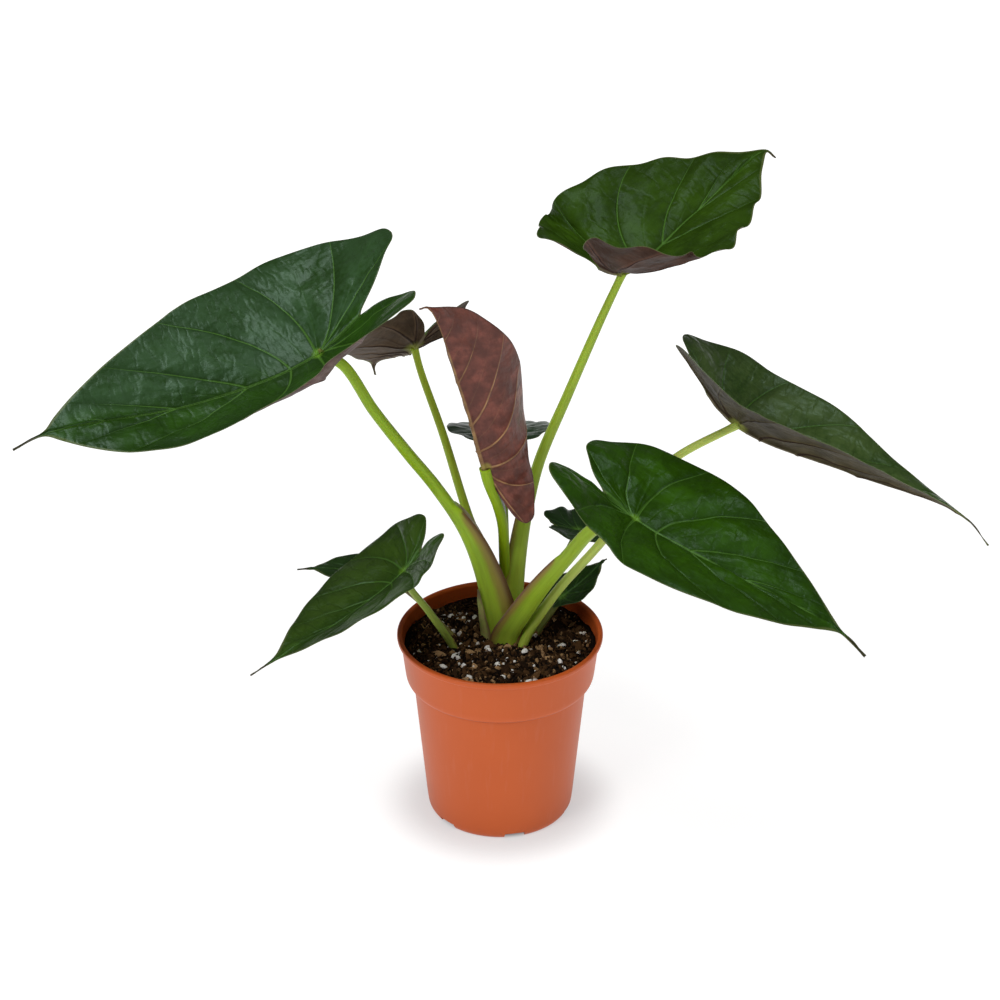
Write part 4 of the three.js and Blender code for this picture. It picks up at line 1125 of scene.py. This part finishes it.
blade_objects = {}
for number, (name, blade) in enumerate(BLADES.items()):
    made = blade_object(name, blade, 11 + 3 * number)
    age, slot = ("young", "furled_leaf") if name == "furled" else ("grown", "leaf")
    settle(made, f"leaf_{name}", slot,
           glossy_green(name, age, **TINTS[name]), matt_underside(name, age, **TINTS[name]))
    blade_objects[name] = made

# ---- The stalks --------------------------------------------------------------------------------
# Fleshy leaf stalks, one under each blade, rising from the corm through the mix. The lower part of
# a stalk is a sheath: open on its inner side, with two thin flushed edges that end in a point.

# route is the stalk's middle line, which goes on to its blade's junction.
# radii are at the foot, where the sheath ends and at the blade; sheath is its share of the stalk,
# wings how far its edges stand out, open the way that it opens and flush how purple it is.
STALKS = {
    "furled": dict(
        route=[(5, 31, 138), (5, 31, 165), (4.2, 29, 200), (3.5, 25, 224),
               (2.2, 19, 255), (-1.8, 14, 276), (-10.2, 10, 302)],
        radii=(5, 4.6, 4.2), sheath=0.3, wings=1,
        green=(0.27, 0.42, 0.004), flush=0.15),
    "top_right": dict(
        route=[(12, 23, 138), (13, 26, 183), (17, 36, 225), (22, 46, 254),
               (32, 58, 293), (54, 64, 349), (81, 63, 420)],
        radii=(7, 4.9, 3.2), sheath=0.42, wings=8, open=(-0.78, 0.6, 0.15),
        green=(0.33, 0.47, 0.035), flush=0.9),
    "right": dict(
        route=[(14, -6, 138), (20, -4, 160), (45, 1, 201), (83, 2, 250), (113, 4, 296), (142, 10, 323)],
        radii=(4.8, 3.9, 3.2), sheath=0.3, wings=0.5,
        green=(0.42, 0.52, 0.10), flush=0.1),
    "left": dict(
        route=[(-3, 14, 138), (-9, 12, 193), (-26, 8, 252), (-51, 4, 298),
               (-73, -4, 333), (-99, -15, 377), (-123, -25, 423)],
        radii=(8.5, 5.4, 4.3), sheath=0.44, wings=23.5,
        green=(0.27, 0.43, 0.012), flush=1.0),
    "front_right": dict(
        route=[(6, 3, 138), (8, 0, 162), (17, -7, 184), (37, -23, 226),
               (54, -36, 257), (71, -56, 291), (84, -71, 309)],
        radii=(8, 6.2, 4.8), sheath=0.56, wings=9.5,
        green=(0.24, 0.36, 0.018), flush=1.0),
    "back_left": dict(
        route=[(-5, 26, 138), (-8, 28, 203), (-27, 38, 257), (-47, 60, 319), (-65, 82, 365)],
        radii=(5, 4, 2.9), sheath=0.3, wings=1,
        green=(0.34, 0.46, 0.03), flush=0.2),
    "back": dict(
        route=[(5, 43, 138), (5, 49, 180), (4, 62, 215), (3, 85, 243)],
        radii=(4.5, 4, 3), sheath=0.3, wings=0.5,
        green=(0.18, 0.28, 0.03), flush=0.2),
    "back_right": dict(
        route=[(22, 22, 138), (32, 28, 180), (52, 38, 212)],
        radii=(3.6, 3.2, 2.4), sheath=0.3, wings=0.5,
        green=(0.16, 0.24, 0.03), flush=0.3),
    "low_right": dict(
        route=[(23, 13, 138), (30, 14, 155), (41, 20, 170)],
        radii=(3.4, 3, 2.2), sheath=0.4, wings=0.5,
        green=(0.13, 0.15, 0.03), flush=1.0),
    "front_left": dict(
        route=[(-28, -4, 128), (-37, -8, 153), (-58, -22, 198), (-73, -34, 228)],
        radii=(3.8, 3.4, 2.8), sheath=0.3, wings=0.5,
        green=(0.27, 0.37, 0.06), flush=0.5),
    "low_left": dict(
        route=[(-26, 6, 128), (-36, 6, 153), (-52, 8, 172), (-68, 13, 188), (-86, 17, 201)],
        radii=(2.6, 2.2, 1.8), sheath=0.3, wings=0.3,
        green=(0.20, 0.17, 0.05), flush=1.0),
}
STALK_TURNS = 48
STALK_STEP = 2.2
# The last stretch, in which the stalk's surface is looked over for where it meets the blade.
FIT_RUN = 34
WING_ANGLE = math.radians(50)
HOLLOW = 0.4


def stop_at_blade(points, blade, first):
    """Runs each line of the tube's points up until it meets the blade, and ends it just inside."""
    tree = BVHTree.FromPolygons([v.co / MM for v in blade.vertices],
                                [p.vertices for p in blade.polygons])
    for i in range(STALK_TURNS):
        for k in range(first, len(points) - 1):
            start, end = Vector(points[k, i]), Vector(points[k + 1, i])
            way = end - start
            hit = tree.ray_cast(start, way.normalized(), way.length + 0.3)[0]
            if hit is not None:
                points[k + 1:, i] = np.array(hit) + 0.12 * np.array(way.normalized())
                break


def stalk_object(name, stalk):
    """The stalk as a closed tube, fitted to the underside of its blade."""
    line = smooth_route([*stalk["route"], BLADES[name]["junction"]], 60)
    run = np.concatenate([[0], np.cumsum(np.linalg.norm(np.diff(line, axis=0), axis=1))])
    steps = int(run[-1] / STALK_STEP)
    share = np.linspace(0, 1, steps + 1)
    centre = np.stack([np.interp(share * run[-1], run, line[:, i]) for i in range(3)], -1)
    tangent = np.gradient(centre, axis=0)
    tangent /= np.linalg.norm(tangent, axis=1, keepdims=True)
    away = line[-1] - line[0]
    away[2] = 0
    inner = np.array(stalk.get("open", np.array([0, 0, 1.0]) - 0.7 * away / np.linalg.norm(away)))
    inner = inner - (tangent @ inner)[:, None] * tangent
    inner /= np.linalg.norm(inner, axis=1, keepdims=True)
    across = np.cross(tangent, inner)
    foot, knee, top = stalk["radii"]
    in_sheath = np.clip(1 - share / stalk["sheath"], 0, 1)
    radius = np.where(share < stalk["sheath"], foot + (knee - foot) * share / stalk["sheath"],
                      knee + (top - knee) * (share - stalk["sheath"]) / (1 - stalk["sheath"]))
    flare = np.clip(1 - (1 - share) * run[-1] / 14, 0, 1) ** 2
    radius = (radius * (1 + 0.18 * flare))[:, None]
    angle = 2 * math.pi * np.arange(STALK_TURNS) / STALK_TURNS
    from_inner = np.minimum(angle, 2 * math.pi - angle)
    outer_side = np.exp(-(np.maximum(from_inner - WING_ANGLE, 0) / 0.55) ** 2)
    inner_side = np.exp(-(np.maximum(WING_ANGLE - from_inner, 0) / 0.20) ** 2)
    crest = outer_side * inner_side
    groove = np.maximum(np.cos(angle), 0) ** 4
    wings = stalk["wings"]
    swell = 1 - (0.08 + HOLLOW * min(1, wings) * in_sheath[:, None]) * groove
    wing_reach = wings * np.sqrt(in_sheath)[:, None]
    along = (share * run[-1])[:, None] + 0 * angle
    ribbing = 0.035 * ripple(np.stack([4.0 * np.cos(angle) + 0 * along, 4.0 * np.sin(angle) + 0 * along,
                                       along / 60], -1), 0.9, len(name))
    reach = radius * (swell + ribbing * 0.5) + wing_reach * crest
    points = (centre[:, None] + inner[:, None] * (reach * np.cos(angle))[..., None]
              + across[:, None] * (reach * np.sin(angle))[..., None])
    first = int(np.searchsorted(share * run[-1], run[-1] - FIT_RUN))
    stop_at_blade(points, blade_objects[name].data, first)
    edge = crest * np.clip(in_sheath * 20, 0, 1)[:, None] * np.clip(wings * 4, 0.25, 1)
    band = np.exp(-(np.maximum(from_inner - WING_ANGLE, 0) / 0.6) ** 2) + 0 * along
    band = band * np.clip(in_sheath[:, None] * 9, 0, 1) ** 0.6
    rings = points.reshape(-1, 3)
    caps = np.array([points[0].mean(axis=0), points[-1].mean(axis=0)])
    faces = tube_faces(steps, STALK_TURNS, (len(rings), len(rings) + 1))
    made = new_object(f"stalk_{name}_skin", np.concatenate([rings, caps]), faces)

    def on_tube(grid):
        """The grid's values for each point of the tube: its rings, then the middles of its ends."""
        return np.concatenate([grid.reshape(len(rings), *grid.shape[2:]), grid[0, :1], grid[-1, :1]])

    for key, grid in (("edge", edge), ("band", band), ("share", along / run[-1])):
        keep_on_points(made, key, on_tube(grid))
    grain = np.stack([radius * np.cos(angle), radius * np.sin(angle), along * 0.03], -1)
    keep_on_points(made, "grain", MM * on_tube(grain))
    tidy_shell(made, 0.005)
    return made


def fleshy_stalk(name, green, flush):
    """Juicy green with fine lengthwise fibres, paler at the foot, flushed purple at the sheath."""
    finish = Finish(f"{name}_stalk")
    grain = finish.direction("grain")
    fibre = finish.noise(grain, 0.55, 2.0, 0.6)
    cloud = finish.noise(grain, 3.5, 3.0)
    share, band, edge = (finish.value(key) for key in ("share", "band", "edge"))
    colour = finish.blend(cloud.ramp(0.3, 0.7), scaled(green, 0.85), scaled(green, 1.12))
    colour = finish.blend(fibre.ramp(0.42, 0.68) * 0.4, colour, tuple(1.35 * c + 0.01 for c in green))
    colour = finish.blend(share.ramp(0.36, 0.06) * 0.7, colour, (0.46, 0.64, 0.060))
    blush = (band + (fibre - 0.5) * 0.35 + (cloud - 0.5) * 0.3).ramp(0.30, 0.80) * flush
    colour = finish.blend(blush * 0.75, colour, (0.235, 0.115, 0.040))
    line = edge.ramp(0.72, 0.98) * flush
    colour = finish.blend(line * 0.75, colour, (0.11, 0.036, 0.026))
    rough = 0.36 + fibre * 0.12
    return finish.surface(colour, rough, fibre * 0.8 + cloud * 0.2, 0.5, 0.5,
                          **{"Subsurface Weight": 0.12, "Subsurface Scale": 0.004,
                             "Specular IOR Level": 0.25})


for name, stalk in STALKS.items():
    made = stalk_object(name, stalk)
    settle(made, f"stalk_{name}", "stalk", fleshy_stalk(name, stalk["green"], stalk["flush"]))

# ---- The old sheath ----------------------------------------------------------------------------
# The papery base that the oldest leaf left on the corm: a strip that hugs the stalk beside it, pale
# green turning tan, with a dry brown edge and a withered point.
OLD_ROUTE = [(-11.5, 7.5, 142), (-12.8, 7, 160), (-15.6, 6.5, 182), (-18, 6, 202)]
OLD_WIDTH, OLD_THICKNESS, OLD_TURNS, OLD_STEPS = 13, 0.9, 32, 48
OLD_FACING = math.radians(50)


def old_sheath_object():
    """The strip as a flat closed tube, bent round the stalk and wrinkled towards its point."""
    line = smooth_route(OLD_ROUTE, 40)
    run = np.concatenate([[0], np.cumsum(np.linalg.norm(np.diff(line, axis=0), axis=1))])
    outward = np.array([-math.cos(OLD_FACING), -math.sin(OLD_FACING), 0])
    sideways = np.array([math.sin(OLD_FACING), -math.cos(OLD_FACING), 0])
    points, across_share, up_share = [], [], []
    for share in np.linspace(0, 1, OLD_STEPS + 1):
        centre = np.array([np.interp(share * run[-1], run, line[:, i]) for i in range(3)])
        half = 0.5 * OLD_WIDTH * (1 - 0.85 * share**1.6)
        for i in range(OLD_TURNS):
            angle = 2 * math.pi * (i + 0.5) / OLD_TURNS
            across = half * math.cos(angle)
            thick = 0.5 * OLD_THICKNESS * (1 - 0.55 * abs(math.cos(angle)) ** 3)
            wrinkle = 0.35 * math.sin(across * 1.9 + share * 5) + 0.3 * math.sin(share * 21)
            inward = 0.05 * across**2 + thick * math.sin(angle) - 0.3 + 0.4 * wrinkle * share
            points.append(centre - outward * inward + sideways * (across + 0.5 * wrinkle * share))
            across_share.append(math.cos(angle))
            up_share.append(share)
    faces = tube_faces(OLD_STEPS, OLD_TURNS)
    faces.append(tuple(reversed(range(OLD_TURNS))))
    faces.append(tuple(range(OLD_STEPS * OLD_TURNS, (OLD_STEPS + 1) * OLD_TURNS)))
    made = new_object("old_sheath_skin", points, faces)
    keep_on_points(made, "across", across_share)
    keep_on_points(made, "share", up_share)
    tidy_shell(made, 0.005)
    return made


def papery_sheath():
    """Dry and fibrous: pale green turning tan, brown along one edge and at the point."""
    finish = Finish("papery_sheath")
    place = finish.place()
    fibre = finish.noise(finish.mapped(place, (1, 1, 0.06)), 0.7, 3.0, 0.6)
    blotch = finish.noise(place, 6, 3.0)
    across, share = finish.value("across"), finish.value("share")
    colour = finish.blend(blotch.ramp(0.35, 0.7), (0.48, 0.58, 0.13), (0.50, 0.46, 0.16))
    colour = finish.blend(fibre.ramp(0.4, 0.7) * 0.4, colour, (0.40, 0.40, 0.14))
    colour = finish.blend((across + fibre * 0.3).ramp(0.55, 1.1) * 0.8, colour, (0.20, 0.09, 0.045))
    colour = finish.blend(share.ramp(0.7, 0.97) * 0.85, colour, (0.085, 0.045, 0.025))
    return finish.surface(colour, 0.55 + fibre * 0.2, fibre, 0.6, 0.5)


settle(old_sheath_object(), "old_sheath", "dry_sheath", papery_sheath())

# ---- The studio --------------------------------------------------------------------------------
# A seamless pale floor and large soft lights; the camera stands where the photograph was taken
# from, level with the crown and looking down on the pot.
CAMERA_PLACE = (0.0, -2.1645, 1.4642)
CAMERA_PITCH = 28.5
CAMERA_LENS = 110
FLOOR_REACH, FLOOR_LINES = 40000, 9
LIGHT_AIM = Vector((0, 0, 0.3))
# Name, place, size across and along, and power in watts.
LIGHTS = [
    ("key", (-1.5, -1.7, 1.9), (1.0, 1.0), 25.0),
    ("overhead", (-0.5, -0.25, 2.5), (2.4, 0.55), 27.0),
    ("skylight", (1.05, 0.3, 2.3), (0.5, 0.5), 5.0),
    ("fill", (1.9, -1.3, 1.3), (1.2, 1.2), 8.5),
]


def pale_sweep():
    """Paper that glows white of itself, with a shadow painted into the glow close to the pot."""
    finish = Finish("pale_sweep")
    place = finish.place()
    paper = finish.noise(place, 400, 2.0)
    away = finish.node("ShaderNodeVectorMath", {"operation": "LENGTH"}, {0: place}, "Value")
    colour = finish.blend(paper, (0.34, 0.34, 0.34), (0.38, 0.38, 0.38))
    # Painted shadow: the glow is turned down close to the pot's foot, and is all but off under it.
    glow_and_painted_shadow = finish.blend(away.ramp(0.050, 0.060), (0.02, 0.02, 0.02), (0.52, 0.515, 0.52))
    glow_and_painted_shadow = finish.blend(away.ramp(0.060, 0.112), glow_and_painted_shadow, (0.85, 0.85, 0.85))
    glow_and_painted_shadow = finish.blend(away.ramp(0.3, 1.2), glow_and_painted_shadow, (1.0, 1.0, 1.0))
    return finish.surface(colour, 0.9, **{"Emission Color": glow_and_painted_shadow, "Emission Strength": 1.0,
                                          "Specular IOR Level": 0.1})


floor_line = np.linspace(-FLOOR_REACH, FLOOR_REACH, FLOOR_LINES)
floor_points = [(x, y, 0) for y in floor_line for x in floor_line]
floor_cells = np.arange(FLOOR_LINES**2).reshape(FLOOR_LINES, FLOOR_LINES)
floor_faces = []
for j, i in itertools.product(range(FLOOR_LINES - 1), repeat=2):
    near, far = floor_cells[j, i:i + 2], floor_cells[j + 1, i:i + 2]
    floor_faces.append((near[0], near[1], far[1], far[0]))
floor = new_object("floor", floor_points, floor_faces)
floor.data.materials.append(pale_sweep())

scene = bpy.context.scene
scene.view_settings.view_transform = "Standard"
scene.world = bpy.data.worlds.new("studio")
scene.world.use_nodes = True
scene.world.node_tree.nodes["Background"].inputs["Color"].default_value = (1, 1, 1, 1)
scene.world.node_tree.nodes["Background"].inputs["Strength"].default_value = 0.10

for name, place, size, power in LIGHTS:
    lamp = bpy.data.lights.new(name, "AREA")
    lamp.shape, lamp.energy = "RECTANGLE", power
    lamp.size, lamp.size_y = size
    made = bpy.data.objects.new(name, lamp)
    made.location = place
    aim = LIGHT_AIM - Vector(place)
    made.rotation_euler = aim.to_track_quat("-Z", "Y").to_euler()
    scene.collection.objects.link(made)

camera_lens = bpy.data.cameras.new("camera")
camera_lens.lens = CAMERA_LENS
camera_lens.sensor_width = 36
camera_lens.clip_end = 100
camera = bpy.data.objects.new("camera", camera_lens)
camera.location = CAMERA_PLACE
camera.rotation_euler = (math.radians(90 - CAMERA_PITCH), 0, 0)
scene.collection.objects.link(camera)
scene.camera = camera
